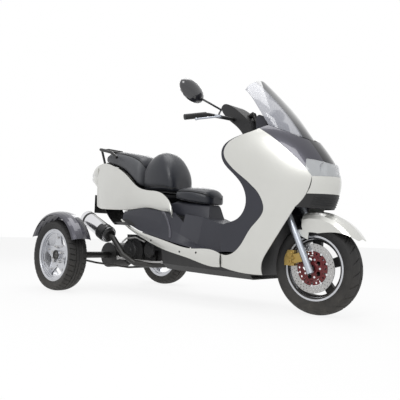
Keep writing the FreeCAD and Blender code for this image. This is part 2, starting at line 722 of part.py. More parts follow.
def seat_hinge():
    """Hinge ears with their pin, on the frame's seat rail."""
    ears = []
    foot_z = SEAT_CROSS_Z + RAIL_R - 3 + 0.3
    for y in (-36.5, 31.5):
        face = polygon([(HINGE_X - 10, HINGE_Z + 9), (HINGE_X + 9, HINGE_Z + 9), (HINGE_X + 9, foot_z + 8),
                        (HINGE_X - 10, foot_z + 8)])
        ears.append(prism(face, y, y + 5))
    pin = rod((HINGE_X, -36, HINGE_Z), (HINGE_X, 36, HINGE_Z), HINGE_PIN_R)
    foot = box(HINGE_X - 10, HINGE_X + 9, -36.5, 36.5, foot_z, foot_z + 8)
    return fuse(*ears, pin, foot)


# ---- frame, engine and running gear -------------------------------------------------
def main_frame():
    """Tubular frame: head tube, down tubes, floor rails and seat rails."""
    head = rod(on_steering_axis(HEAD_LOW), on_steering_axis(HEAD_HIGH), HEAD_R)
    tubes = [head]
    low = on_steering_axis(HEAD_LOW + 40)
    for side in (-1, 1):
        tubes.append(bent_tube([(low[0] - 10, side * 12, low[2]), (1400, side * 60, 420), (1300, side * 70, 230),
                                (760, side * 110, 230), (700, side * 110, 300), (640, side * 110, RAIL_Z - 6),
                                (90, side * 110, RAIL_Z), (-136, side * 69, 748)], RAIL_R))
        tubes.append(bent_tube([(1478, side * 10, 716), (1450, side * 46, 570), (1396, side * 52, 446),
                                (1000, side * 60, 440), (860, side * 76, 498), (HINGE_X, side * 96, SEAT_CROSS_Z),
                                (640, side * 110, RAIL_Z - 6)], RAIL_R - 4))
    crosses = ((1290, 230, 70), (800, 230, 108), (712, 300, 110), (300, RAIL_Z - 4, 110),
               (HINGE_X, SEAT_CROSS_Z, 96), (-100, 740, 66))
    for x, z, half in crosses:
        tubes.append(rod((x, -half, z), (x, half, z), RAIL_R - 3))
    floor = floor_tunnel()
    floor.translate(V(0, 0, -0.3))
    outrigger = rod((1120, -212, 312), (1120, 212, 312), 10).cut(floor)
    tubes += [rod((1120, y, 230), (1120, y, 312), 9) for y in (-86, 86)]
    tubes.append(outrigger)
    cover = side_panel()
    brace = rod((300, -168, RAIL_Z - 4), (300, 168, RAIL_Z - 4), 8)
    tubes.append(brace.cut(cover).cut(mirrored(cover)))
    frame = fuse(*tubes)
    bore = rod(on_steering_axis(HEAD_LOW - 5), on_steering_axis(HEAD_HIGH + 5), STEM_R + FIT)
    return frame.cut(bore)


def axle_beam():
    """Rear axle beam with its hub plates and stub axles."""
    beam = rod((0, -404, REAR_TYRE_R), (0, 404, REAR_TYRE_R), BEAM_R)
    parts = [beam]
    for side in (-1, 1):
        inner = side * 404
        parts.append(rod((0, inner, REAR_TYRE_R), (0, side * 422, REAR_TYRE_R), 60))
        parts.append(rod((0, inner, REAR_TYRE_R), (0, side * (TRACK / 2 + 30), REAR_TYRE_R), STUB_R))
    return fuse(*parts)


def rear_fender(side):
    """Rounded guard over a rear tyre, with the strap that carries it from the hub plate."""
    y_mid = side * TRACK / 2
    half, lip, crown = FENDER_HALF_W, FENDER_LIP_R, FENDER_CROWN_R
    rise = crown - lip
    shares = (-1, -0.907, -0.667, -0.333, 0, 0.333, 0.667, 0.907, 1)
    outer = [(half * share, lip + rise * sqrt(1 - share ** 2)) for share in shares]
    inner = [(y * (half - FENDER_WALL) / half, r - FENDER_WALL) for y, r in reversed(outer)]
    inner[0] = (inner[0][0], lip)
    inner[-1] = (inner[-1][0], lip)
    sweep = FENDER_REAR_DEG - FENDER_FRONT_DEG
    guard = ring(outer + inner, 0, REAR_TYRE_R, y_mid, FENDER_FRONT_DEG, sweep)
    plate_y = side * 418
    lip_y = side * (TRACK / 2 - half + 1.5)
    stays = []
    for turn in (50, 90, 130):
        way = (cos(radians(turn)), sin(radians(turn)))
        foot = (way[0] * 40, plate_y, REAR_TYRE_R + way[1] * 40)
        top = (way[0] * (lip - 6), plate_y, REAR_TYRE_R + way[1] * (lip - 6))
        reach = (way[0] * (lip - 1), lip_y, REAR_TYRE_R + way[1] * (lip - 1))
        stays.append(bent_tube([foot, top, reach], 5))
    strap = fuse(guard, *stays)
    return strap.cut(rod((0, side * 300, REAR_TYRE_R), (0, side * 440, REAR_TYRE_R), HUB_PLATE_R + 0.3))


def axle_struts():
    """Black links from the beam's ends forward to the engine cradle."""
    links = []
    for side in (-1, 1):
        links.append(bent_tube([(0, side * 330, REAR_TYRE_R - BEAM_R - 7.3), (60, side * 240, 190),
                                (300, side * 130, 168), (470, side * 96, 182.7)], 7))
    return Part.makeCompound(links)


def engine_block():
    """Crankcase and cylinder as one block, ahead of the final drive."""
    case = box(250, 640, -112, 120, 190, 400)
    cylinder = box(600, 712 - RAIL_R + 3 - 0.3, -70, 70, 250, 360)
    cover = rod((380, -150, 285), (380, -112, 285), 88)
    side_case = rod((520, -128, 262), (520, -112, 262), 60)
    return fuse(case, cylinder, cover, side_case)


def gearbox():
    """Final drive casing on the beam, with its drive case forward to the engine."""
    drum = rod((0, -86, REAR_TYRE_R), (0, 86, REAR_TYRE_R), 92)
    case = box(0, 249.7, 20, 86, 190, 300)
    body = fuse(drum, case)
    return body.cut(rod((0, -404, REAR_TYRE_R), (0, 404, REAR_TYRE_R), BEAM_R))


MUFFLER_REAR = (-40.0, -262.0, 512.0)
MUFFLER_FRONT = (232.0, -262.0, 392.0)
MUFFLER_R = 56.0


def muffler():
    """Bright silencer can, tail up."""
    can = rod(MUFFLER_FRONT, MUFFLER_REAR, MUFFLER_R)
    a, b = V(*MUFFLER_REAR), V(*MUFFLER_FRONT)
    way = (a - b).normalize()
    outlet = rod(tuple(a), tuple(a + way * 26), 18)
    bore = rod(tuple(a - way * 30), tuple(a + way * 40), 15)
    return fuse(can, outlet).cut(bore)


def exhaust_pipe():
    """Header pipe from the engine to the silencer."""
    b, a = V(*MUFFLER_FRONT), V(*MUFFLER_REAR)
    way = (b - a).normalize()
    start = b + way * 0.3
    points = [tuple(start), tuple(b + way * 60), (365, -236, 262), (440, -190, 206), (570, -140, 200),
              (648, -92, 206), (652, -40, 240)]
    flange = rod(tuple(start), tuple(b + way * 14), 40)
    pipe = fuse(bent_tube(points, 19), flange)
    return pipe.cut(engine_block())


def belly_section(x, half, top, low):
    """A tray profile, open above."""
    t = 3.0
    outer = [(-half, top), (-half + 16, low + 36), (-half + 62, low), (half - 62, low),
             (half - 16, low + 36), (half, top)]
    inner = [(half - t, top), (half - 16 - t, low + 37), (half - 63, low + t), (-half + 63, low + t),
             (-half + 16 + t, low + 37), (-half + t, top)]
    corners = [V(x, y, z) for y, z in outer + inner]
    return [[a, b] for a, b in zip(corners, corners[1:] + corners[:1])]


BELLY = [   # x, half width, z of the rim, z of the floor
    (720, 212, 316, 186), (900, 220, 286, 180), (1100, 220, 252, 174), (1240, 211, 238, 170),
    (1410, 202, 216, 166),
]


def belly_fairing():
    """Black underbody tray between the sills."""
    return loft([belly_section(*row) for row in BELLY], True)


def grab_rail():
    """Rear carrier: two rails joined behind the pillion pad, on feet from the seat rails."""
    rails = []
    for side in (-1, 1):
        rails.append(bent_tube([(150, side * 158, 960), (80, side * 160, 1004), (-60, side * 152, 1038),
                                (-128, side * 96, 1052), (-136, 0, 1054)], 11))
        rails.append(bent_tube([(-112, side * 104, 1046), (-108, side * 74, 950), (-104, side * 72, 738)], 9))
    plate = box(-140, -74, -70, 70, 1050, 1058)
    rack = fuse(*rails, plate)
    for y in (-RACK_HOLE_SPREAD / 2, RACK_HOLE_SPREAD / 2):
        for x in (RACK_X - RACK_HOLE_DEPTH / 2, RACK_X + RACK_HOLE_DEPTH / 2):
            rack = rack.cut(rod((x, y, 1020), (x, y, 1070), RACK_HOLE_R))
    return rack.cut(main_frame())


def rear_mudguard():
    """Splash guard under the tail, with a blank number-plate bracket."""
    sheet = outline([(-112, 740), (-96, 640), (-30, 540), (60, 470)], [(60, 470), (64, 473)],
                    [(64, 473), (-27, 544), (-92, 642), (-108, 740)], [(-108, 740), (-112, 740)])
    guard = prism(sheet, -84, 84)
    plate = box(-196, -192, -90, 90, 560, 700)
    arm = box(-193, -97, -20, 20, 655, 665)
    whole = fuse(guard, plate, arm)
    for y in (-60, 60):
        whole = whole.cut(rod((-210, y, 630), (-180, y, 630), 3.2))
    return whole.cut(main_frame())


PIECES = {
    "axle_struts": axle_struts, "engine_block": engine_block, "gearbox": gearbox, "muffler": muffler,
    "exhaust_pipe": exhaust_pipe, "belly_fairing": belly_fairing, "grab_rail": grab_rail,
    "rear_mudguard": rear_mudguard, "main_frame": main_frame, "axle_beam": axle_beam,
    "luggage_bin": luggage_bin, "tail_cowl": tail_cowl, "tail_lamp": tail_lamp, "rider_seat": rider_seat,
    "backrest_pad": backrest_pad, "pillion_pad": pillion_pad, "seat_pan": seat_pan,
    "seat_hinge": seat_hinge, "seat_plinth": seat_plinth, "floor_tunnel": floor_tunnel, "leg_shield": leg_shield,
    "windshield": windshield, "instrument_cluster": instrument_cluster, "inner_fender": inner_fender,
    "steering_stem": steering_stem, "fork_legs": fork_legs, "front_mudguard": front_mudguard,
    "brake_caliper": brake_caliper, "handlebar": handlebar, "grips": grips, "brake_levers": brake_levers,
    "handlebar_cover": handlebar_cover, "front_rim": front_rim, "brake_disc": brake_disc,
}


def main():
    os.makedirs("parts", exist_ok=True)
    for name, make in PIECES.items():
        save(name, make())
    save("front_tyre", tyre(WHEELBASE, FRONT_TYRE_R, 0, FRONT_TYRE_R, FRONT_TYRE_W, FRONT_FLANGE_R, FRONT_RIM_W))
    skin = front_solid(0).cut(front_solid(SKIN))
    for name, piece in front_panels(skin).items():
        save(name, piece)
    sill, cover = side_moulding(), side_panel()
    for side, name in ((-1, "right"), (1, "left")):
        save("side_moulding_" + name, sill if side < 0 else mirrored(sill))
        save("side_panel_" + name, cover if side < 0 else mirrored(cover))
        save("rear_fender_" + name, rear_fender(side))
        save("mirror_" + name, mirror(side))
        save("rear_rim_" + name, rear_rim(side))
        save("rear_tyre_" + name, tyre(0, REAR_TYRE_R, side * TRACK / 2, REAR_TYRE_R, REAR_TYRE_W,
                                       REAR_FLANGE_R, REAR_RIM_W))


main()
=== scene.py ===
# %% [markdown]
# A scooter-bodied motor trike, finished part by part.  The frame below is the trike's
# construction: every metal and plastic piece at its real size.  These cells give each
# piece its surface, and rebuild the ones whose shape a workshop drawing leaves plain.

# %% The frame
from math import cos, pi, radians, sin, sqrt

import bmesh
import bpy
from mathutils import Matrix, Vector
from mathutils.bvhtree import BVHTree


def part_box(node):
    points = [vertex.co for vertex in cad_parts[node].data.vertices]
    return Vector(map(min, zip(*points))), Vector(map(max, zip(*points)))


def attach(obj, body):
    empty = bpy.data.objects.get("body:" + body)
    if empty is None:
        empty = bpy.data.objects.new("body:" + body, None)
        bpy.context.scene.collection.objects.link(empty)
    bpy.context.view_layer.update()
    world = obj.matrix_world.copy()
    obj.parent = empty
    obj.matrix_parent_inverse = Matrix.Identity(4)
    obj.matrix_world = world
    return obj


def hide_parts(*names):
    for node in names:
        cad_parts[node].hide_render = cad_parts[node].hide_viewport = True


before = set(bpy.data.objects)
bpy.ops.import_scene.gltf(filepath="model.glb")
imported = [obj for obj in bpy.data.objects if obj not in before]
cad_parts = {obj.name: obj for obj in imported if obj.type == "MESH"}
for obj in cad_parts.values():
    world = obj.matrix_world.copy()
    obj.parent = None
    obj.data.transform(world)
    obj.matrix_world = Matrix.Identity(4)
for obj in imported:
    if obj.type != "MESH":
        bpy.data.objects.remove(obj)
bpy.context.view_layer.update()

scene = bpy.context.scene
scene.view_settings.view_transform = "Standard"

# %% [markdown]
# The measures that most pieces share are read from the frame, so that a wheel or a
# guard made here sits exactly where the construction has it.

# %% Shared measures


def middle(node):
    """The middle of a node's box."""
    low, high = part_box(node)
    return (Vector(low) + Vector(high)) / 2


def size(node):
    """The three sides of a node's box."""
    low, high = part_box(node)
    return Vector(high) - Vector(low)


FRONT_HUB = middle("front_tyre")
FRONT_R = size("front_tyre").z / 2
FRONT_W = size("front_tyre").y
REAR_R = size("rear_tyre_right").z / 2
REAR_W = size("rear_tyre_right").y
REAR_HUBS = {"right": middle("rear_tyre_right"), "left": middle("rear_tyre_left")}
SIDES = {"right": -1, "left": 1}
REAR_X = REAR_HUBS["right"].x
print("wheelbase", round(FRONT_HUB.x - REAR_X, 4), "front radius", round(FRONT_R, 4))

# %% [markdown]
# The camera stands low at the right front corner, a little below the height of the
# front wheel's top, and looks slightly up, so the screen stands tall against the floor.

# %% Camera
EYE = Vector((2.3436, -2.4839, 0.3987))
AHEAD = Vector((-0.68254, 0.72744, 0.07049))
UPWARDS = Vector((0.02653, -0.07172, 0.99707))
FOCAL_MM = 46.62
rightwards = AHEAD.cross(UPWARDS).normalized()
above = rightwards.cross(AHEAD).normalized()
camera_data = bpy.data.cameras.new("camera")
camera_data.lens = FOCAL_MM
camera_data.sensor_width = 36.0
camera = bpy.data.objects.new("camera", camera_data)
scene.collection.objects.link(camera)
turn = Matrix((rightwards, above, -AHEAD)).transposed().to_4x4()
camera.matrix_world = Matrix.Translation(EYE) @ turn
scene.camera = camera
print("camera height", EYE.z)

# %% [markdown]
# Materials and the world are graphs of small nodes.  One helper adds a node with its
# settings and values, one joins sockets, and one starts a material.

# %% Node helpers


def add_node(tree, kind, values=None, **settings):
    """A shader node with its settings and the values of its inputs."""
    node = tree.nodes.new("ShaderNode" + kind)
    for name, value in settings.items():
        setattr(node, name, value)
    for socket, value in (values or {}).items():
        node.inputs[socket].default_value = value
    return node


def wire(tree, *runs):
    """Joins sockets: a run is a node, its output, the next node and its input."""
    for source, output, target, given in runs:
        tree.links.new(source.outputs[output], target.inputs[given])


def new_material(name, values):
    """A material, its tree and its shader with the shader's own values set."""
    made = bpy.data.materials.new(name)
    made.use_nodes = True
    shader = made.node_tree.nodes["Principled BSDF"]
    for socket, value in values.items():
        shader.inputs[socket].default_value = value
    return made, made.node_tree, shader


# %% [markdown]
# Soft studio light: one broad lamp above the camera's side, one on the far side and one
# overhead, over an even pale world.  Their level is plain, so a colour shows as written.

# %% Light and floor
WHITE = (1, 1, 1, 1)
LAMPS = [   # name, place, aim, width, power
    ("lamp_key", (2.2, -3.2, 3.6), (0.1, 0, 0.5), 2.2, 88),
    ("lamp_top", (-0.2, 0.3, 4.2), (0, 0, 0.4), 2.6, 60),
    ("lamp_far", (-2.8, 2.6, 2.6), (0, 0, 0.6), 1.8, 30),
]
for name, place, aim, width, power in LAMPS:
    data = bpy.data.lights.new(name, "AREA")
    data.size, data.energy = width, power
    lamp = bpy.data.objects.new(name, data)
    scene.collection.objects.link(lamp)
    facing = (Vector(aim) - Vector(place)).to_track_quat("-Z", "Y").to_matrix().to_4x4()
    lamp.matrix_world = Matrix.Translation(place) @ facing


def background_rays(tree):
    """1 for camera, glossy and transmission rays, so metal and glass show the background."""
    rays = add_node(tree, "LightPath")
    so_far, output = rays, "Is Camera Ray"
    for name in ("Is Glossy Ray", "Is Transmission Ray"):
        either = add_node(tree, "Math", operation="MAXIMUM")
        wire(tree, (so_far, output, either, 0), (rays, name, either, 1))
        so_far, output = either, 0
    return so_far


def floor_finish():
    """Pale floor that keeps a soft shadow and fades into the background."""
    made, tree, shader = new_material(
        "studio_floor", {"Base Color": (0.9, 0.9, 0.9, 1), "Roughness": 0.9})
    glow = add_node(tree, "Emission", {"Color": WHITE})
    share = add_node(tree, "Math", {1: 0.85}, operation="MULTIPLY")
    mix = add_node(tree, "MixShader")
    wire(tree, (background_rays(tree), 0, share, 0), (share, 0, mix, 0), (shader, 0, mix, 1),
         (glow, 0, mix, 2), (mix, 0, tree.nodes["Material Output"], "Surface"))
    return made


world = bpy.data.worlds.new("studio")
world.use_nodes = True
scene.world = world
sky = world.node_tree
sky.nodes.clear()
strength = add_node(sky, "MapRange", {"To Min": 0.5, "To Max": 1.0})
glow = add_node(sky, "Background", {"Color": WHITE})
wire(sky, (background_rays(sky), 0, strength, "Value"), (strength, "Result", glow, "Strength"),
     (glow, 0, add_node(sky, "OutputWorld"), "Surface"))

FLOOR_REACH = 30.0
floor_mesh = bpy.data.meshes.new("floor")
corners = [(x * FLOOR_REACH, y * FLOOR_REACH, 0) for x, y in ((-1, -1), (1, -1), (1, 1), (-1, 1))]
floor_mesh.from_pydata(corners, [], [(0, 1, 2, 3)])
floor_mesh.materials.append(floor_finish())
floor = bpy.data.objects.new("floor", floor_mesh)
scene.collection.objects.link(floor)
print("lamps", len(LAMPS), "floor reach", FLOOR_REACH)

# %% [markdown]
# Four effects come back on many surfaces, so each is one node group: a fine grain and
# leather pebbles that tilt the surface, a slow drift of tone, and road dust that fades
# out with height.

# %% Effects shared by the finishes
GREY = (0.5, 0.5, 0.5, 1)
ROAD_DUST = (0.20, 0.18, 0.15, 1)


def new_group(name, inputs, outputs):
    """An empty node group with named sockets, and its two end nodes."""
    group = bpy.data.node_groups.new(name, "ShaderNodeTree")
    for label, kind, value in inputs:
        socket = group.interface.new_socket(label, in_out="INPUT", socket_type="NodeSocket" + kind)
        socket.default_value = value
    for label, kind in outputs:
        group.interface.new_socket(label, in_out="OUTPUT", socket_type="NodeSocket" + kind)
    return group, group.nodes.new("NodeGroupInput"), group.nodes.new("NodeGroupOutput")


def make_relief(name, texture, height, values):
    """Tilts the surface by a fine texture of a given scale and depth."""
    group, given, result = new_group(
        name, [("Scale", "Float", 400.0), ("Depth", "Float", 0.2)], [("Normal", "Vector")])
    pattern = add_node(group, texture, values)
    bump = add_node(group, "Bump", {"Distance": 0.001})
    wire(group, (add_node(group, "TexCoord"), "Object", pattern, "Vector"),
         (given, "Scale", pattern, "Scale"), (pattern, height, bump, "Height"),
         (given, "Depth", bump, "Strength"), (bump, "Normal", result, "Normal"))
    return group


def make_drift():
    """Mixes two tones slowly over the surface."""
    group, given, result = new_group(
        "tone_drift", [("Tone", "Color", GREY), ("Other", "Color", GREY), ("Scale", "Float", 4.0)],
        [("Color", "Color")])
    noise = add_node(group, "TexNoise", {"Detail": 5.0})
    mix = add_node(group, "Mix", data_type="RGBA")
    wire(group, (add_node(group, "TexCoord"), "Object", noise, "Vector"),
         (given, "Scale", noise, "Scale"), (noise, "Fac", mix, "Factor"),
         (given, "Tone", mix, "A"), (given, "Other", mix, "B"), (mix, "Result", result, "Color"))
    return group


def make_dust():
    """Adds a little road dust low down, broken up by noise."""
    group, given, result = new_group(
        "road_dust", [("Color", "Color", GREY), ("Top", "Float", 0.35), ("Amount", "Float", 0.2)],
        [("Color", "Color")])
    place = add_node(group, "TexCoord")
    split = add_node(group, "SeparateXYZ")
    fade = add_node(group, "MapRange", {"From Min": 0.0, "To Min": 1.0, "To Max": 0.0})
    noise = add_node(group, "TexNoise", {"Scale": 28.0})
    spread = add_node(group, "Math", operation="MULTIPLY")
    level = add_node(group, "Math", operation="MULTIPLY")
    mix = add_node(group, "Mix", {"B": ROAD_DUST}, data_type="RGBA")
    wire(group, (place, "Object", split, 0), (split, "Z", fade, "Value"),
         (given, "Top", fade, "From Max"), (place, "Object", noise, "Vector"),
         (fade, "Result", spread, 0), (noise, "Fac", spread, 1), (spread, 0, level, 0),
         (given, "Amount", level, 1), (level, 0, mix, "Factor"), (given, "Color", mix, "A"),
         (mix, "Result", result, "Color"))
    return group


GRAIN = make_relief("surface_grain", "TexNoise", "Fac", {"Detail": 3.0})
LEATHER = make_relief("pebbled_skin", "TexVoronoi", "Distance", {})
DRIFT, DUST = make_drift(), make_dust()
print("groups", [group.name for group in bpy.data.node_groups])

# %% [markdown]
# A finish is one Principled shader.  Its tone drifts between two near colours, dust dulls
# what is close to the road, and grain or pebbles tilt the surface at their real scale.

# %% Finishes


def finish(name, tone, other, roughness, metallic=0.0, coat=0.0, grain=(500, 0.1), pebbles=None,
           dust=0.12, sheen=0.0):
    """One surface finish; grain and pebbles are pairs of scale and depth."""
    made, tree, shader = new_material(name, {
        "Roughness": roughness, "Metallic": metallic, "Coat Weight": coat,
        "Coat Roughness": 0.04, "Sheen Weight": sheen})
    scale, depth = pebbles or grain
    tones = add_node(tree, "Group", {"Tone": (*tone, 1), "Other": (*other, 1)}, node_tree=DRIFT)
    dirt = add_node(tree, "Group", {"Amount": dust}, node_tree=DUST)
    relief = add_node(tree, "Group", {"Scale": scale, "Depth": depth},
                      node_tree=LEATHER if pebbles else GRAIN)
    wire(tree, (tones, "Color", dirt, "Color"), (dirt, "Color", shader, "Base Color"),
         (relief, "Normal", shader, "Normal"))
    return made


def clear_finish(name, tone, roughness, alpha):
    """Thin clear or smoked plastic, see-through by its alpha."""
    made, tree, shader = new_material(name, {
        "Base Color": (*tone, 1), "Roughness": roughness, "Alpha": alpha, "Coat Weight": 1.0})
    relief = add_node(tree, "Group", {"Scale": 6.0, "Depth": 0.004}, node_tree=GRAIN)
    wire(tree, (relief, "Normal", shader, "Normal"))
    return made


FINE = (2600, 0.03)
GUNMETAL = ((0.062, 0.060, 0.078), (0.045, 0.045, 0.058))
F = {
    "pearl": finish("pearl_silver", (0.66, 0.66, 0.63), (0.57, 0.57, 0.54), 0.36, 0.55, 1.0, FINE),
    "gunmetal": finish("gunmetal", *GUNMETAL, 0.34, 0.6, 0.8, FINE),
    "inner": finish("inner_plastic", (0.024, 0.025, 0.036), (0.017, 0.018, 0.026), 0.5,
                    grain=(900, 0.35)),
    "black": finish("black_plastic", (0.006, 0.006, 0.007), (0.010, 0.010, 0.011), 0.5,
                    grain=(800, 0.3)),
    "vinyl": finish("seat_vinyl", (0.008, 0.010, 0.016), (0.013, 0.015, 0.022), 0.34,
                    pebbles=(420, 0.3), sheen=0.1),
    "grey_vinyl": finish("grey_vinyl", (0.055, 0.058, 0.066), (0.075, 0.078, 0.085), 0.5,
                         pebbles=(420, 0.35)),
    "steel": finish("black_steel", (0.007, 0.007, 0.0075), (0.012, 0.0115, 0.011), 0.42,
                    grain=(300, 0.2), dust=0.35),
    "cast": finish("engine_cast", (0.030, 0.031, 0.034), (0.014, 0.014, 0.015), 0.5, 0.6,
                   grain=(260, 0.5), dust=0.4),
    "bright": finish("silencer_bright", (0.78, 0.78, 0.8), (0.66, 0.66, 0.68), 0.16, 1.0,
                     grain=(200, 0.03)),
    "alloy": finish("wheel_silver", (0.62, 0.63, 0.66), (0.52, 0.53, 0.56), 0.34, 0.85, 0.3,
                    grain=(900, 0.1)),
    "fork": finish("fork_silver", (0.5, 0.53, 0.58), (0.42, 0.45, 0.5), 0.3, 0.8,
                   grain=(700, 0.1)),
    "tyre": finish("tyre_rubber", (0.008, 0.008, 0.009), (0.014, 0.0135, 0.013), 0.66,
                   grain=(700, 0.4), dust=0.3),
    "grip": finish("grip_rubber", (0.014, 0.014, 0.015), (0.02, 0.02, 0.02), 0.6,
                   pebbles=(500, 0.5)),
    "disc": finish("disc_steel", (0.5, 0.5, 0.5), (0.4, 0.39, 0.38), 0.3, 1.0, grain=(600, 0.2)),
    "carrier": finish("disc_carrier_red", (0.11, 0.012, 0.016), (0.16, 0.02, 0.022), 0.35, 0.3),
    "gold": finish("caliper_gold", (0.48, 0.34, 0.11), (0.34, 0.23, 0.07), 0.35, 0.8,
                   grain=(400, 0.3)),
    "gloss": finish("gloss_black", (0.012, 0.012, 0.016), (0.018, 0.018, 0.022), 0.12, coat=1.0,
                    grain=(100, 0.01)),
    "screen": clear_finish("smoked_screen_with_painted_shade", (0.42, 0.44, 0.48), 0.06, 0.62),
    "lens": clear_finish("lamp_lens", (0.62, 0.64, 0.66), 0.08, 0.55),
    "mirror_face": finish("mirror_face", (0.75, 0.77, 0.8), (0.72, 0.74, 0.77), 0.03, 1.0,
                          grain=(10, 0.0)),
}
print("finishes", len(F))

# %% [markdown]
# Each piece of the construction whose shape is right stays as it is and gets its finish.

# %% Finishes on the construction's own pieces
WEARS = {
    "pearl": ["front_panel_right", "front_panel_left", "side_moulding_right", "side_moulding_left",
              "side_panel_right", "side_panel_left", "tail_cowl", "nose_panel", "front_mudguard"],
    "gunmetal": ["front_cowl", "rear_fender_right", "rear_fender_left"],
    "inner": ["floor_tunnel", "leg_shield", "seat_plinth", "instrument_cluster"],
    "black": ["belly_fairing", "rear_mudguard", "inner_fender", "nose_grille", "luggage_bin",
              "seat_pan", "handlebar_cover"],
    "vinyl": ["rider_seat", "backrest_pad"],
    "grey_vinyl": ["pillion_pad"],
    "steel": ["main_frame", "axle_beam", "axle_struts", "exhaust_pipe", "steering_stem",
              "handlebar", "grab_rail", "seat_hinge"],
    "cast": ["engine_block", "gearbox"],
    "bright": ["muffler"],
    "alloy": ["front_rim", "rear_rim_right", "rear_rim_left"],
    "fork": ["fork_legs", "brake_levers"],
    "tyre": ["front_tyre", "rear_tyre_right", "rear_tyre_left"],
    "grip": ["grips"],
    "disc": ["brake_disc"],
    "gold": ["brake_caliper"],
    "gloss": ["mirror_right", "mirror_left"],
    "screen": ["windshield"],
    "lens": ["headlamp", "tail_lamp"],
}
for wear, names in WEARS.items():
    for name in names:
        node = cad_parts[name]
        node.data.materials.clear()
        node.data.materials.append(F[wear])
missing = set(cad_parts) - {name for names in WEARS.values() for name in names}
print("nodes without a finish", sorted(missing))

# %% [markdown]
# A wheel is round about its axle, so most of it is a profile turned round a circle.  The
# one helper below turns a profile and can push each point in or out on the way round,
# which is how the tyres get their grooves as real relief.

# %% Turning a profile about an axle


def new_piece(name, points, faces, finish_name, body, slot, stands_for=()):
    """A mesh object that rides on a body and takes the place of construction pieces."""
    mesh = bpy.data.meshes.new(name)
    mesh.from_pydata(points, [], faces)
    mesh.update()
    piece = bpy.data.objects.new(name, mesh)
    scene.collection.objects.link(piece)
    mesh.materials.append(F[finish_name])
    tidy = bmesh.new()
    tidy.from_mesh(mesh)
    bmesh.ops.remove_doubles(tidy, verts=tidy.verts, dist=0.00001)
    bmesh.ops.recalc_face_normals(tidy, faces=tidy.faces)
    tidy.to_mesh(mesh)
    tidy.free()
    mesh.shade_smooth()
    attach(piece, body)
    if stands_for:
        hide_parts(*stands_for)
    return piece


def skin(faces, start, count, rows, round_row=True, round_all=False):
    """Adds the faces between rows of points; a row, and the run of rows, can close up."""
    for row in range(rows if round_all else rows - 1):
        here, there = start + row * count, start + (row + 1) % rows * count
        for k in range(count if round_row else count - 1):
            after = (k + 1) % count
            faces.append((here + k, there + k, there + after, here + after))


def turned(hub, profile, steps, push=None):
    """Points and faces of (radius, across) pairs turned about a sideways axle."""
    points, faces = [], []
    for step in range(steps):
        angle = 2 * pi * step / steps
        for radius, across in profile:
            reach = radius - (push(angle, radius, across) if push else 0)
            points.append((hub.x + reach * cos(angle), hub.y + across, hub.z + reach * sin(angle)))
    skin(faces, 0, len(profile), steps, round_all=True)
    return points, faces


def sharpen(piece, angle=35):
    """Smooth shading that keeps edges sharper than the angle."""
    piece.data.set_sharp_from_angle(angle=radians(angle))


# %% [markdown]
# The front tyre is a scooter tyre with curved grooves that sweep back from the crown to
# the shoulder; the rear ones are broad and flat, with rings and short cross cuts.  The
# grooves are cut by pushing points of the tread inwards.

# %% Tyres
GROOVE = 0.0055
GROOVE_WALL = 0.0016
WALL_POINTS = 9
FRONT_WALL, REAR_WALL = 0.034, 0.030   # the tread's depth from the crown
FRONT_PITCH, REAR_PITCH = 2 * pi / 24, 2 * pi / 40


def groove(distance, half_width):
    """How far in a groove goes at a distance from its middle: 1 inside, 0 outside."""
    edge = (abs(distance) - half_width) / GROOVE_WALL
    return max(0.0, min(1.0, 0.5 - edge))


def tyre_profile(radius, width, bead_r, bead_half, crown_drop, crown_share, tread_points):
    """A tyre's section: bead, bulging sidewall, shoulder and crown, then back inside."""
    half = width / 2
    shoulder_r = radius - crown_drop
    outer = []
    for place in range(WALL_POINTS):
        share = place / (WALL_POINTS - 1)
        bulge = min(1, sin(pi * share * 0.55) / sin(pi * 0.55))
        outer.append((bead_r + (shoulder_r - bead_r) * share,
                      bead_half + (half - bead_half) * bulge))
    shoulder = outer[-1][1]
    crown = []
    for place in range(1, tread_points):
        share = 1 - 2 * place / tread_points
        across = shoulder * (abs(share) ** crown_share) * (1 if share >= 0 else -1)
        drop = crown_drop * abs(across / shoulder) ** 2.6
        crown.append((radius - drop, across))
    inner = [(bead_r + 0.004, bead_half - 0.012), (shoulder_r - 0.012, half - 0.014),
             (radius - 0.014, 0), (shoulder_r - 0.012, 0.014 - half),
             (bead_r + 0.004, 0.012 - bead_half)]
    return [(r, -a) for r, a in outer + crown] + list(reversed(outer)) + inner


def front_tread(angle, radius, across):
    """Curved grooves that sweep round the front tyre's crown."""
    if radius < FRONT_R - FRONT_WALL:
        return 0.0
    total = groove(abs(across) - 0.006, 0.0016) * 0.8
    if 0.008 < abs(across) < 0.05:
        sweep = 0.16 * (abs(across) / 0.052) ** 1.6
        away = (angle + sweep + (FRONT_PITCH / 2 if across > 0 else 0)) % FRONT_PITCH
        total = max(total, groove(min(away, FRONT_PITCH - away) * FRONT_R, 0.0034))
    return GROOVE * total


def rear_tread(angle, radius, across):
    """Two rings and slanted cuts on the rear tyres' flat tread."""
    if radius < REAR_R - REAR_WALL:
        return 0.0
    total = max(groove(abs(across) - 0.022, 0.0022), groove(across, 0.0016))
    if abs(across) > 0.03:
        slant = (angle + across * 1.2) % REAR_PITCH
        total = max(total, groove(min(slant, REAR_PITCH - slant) * REAR_R, 0.0018))
    return GROOVE * total


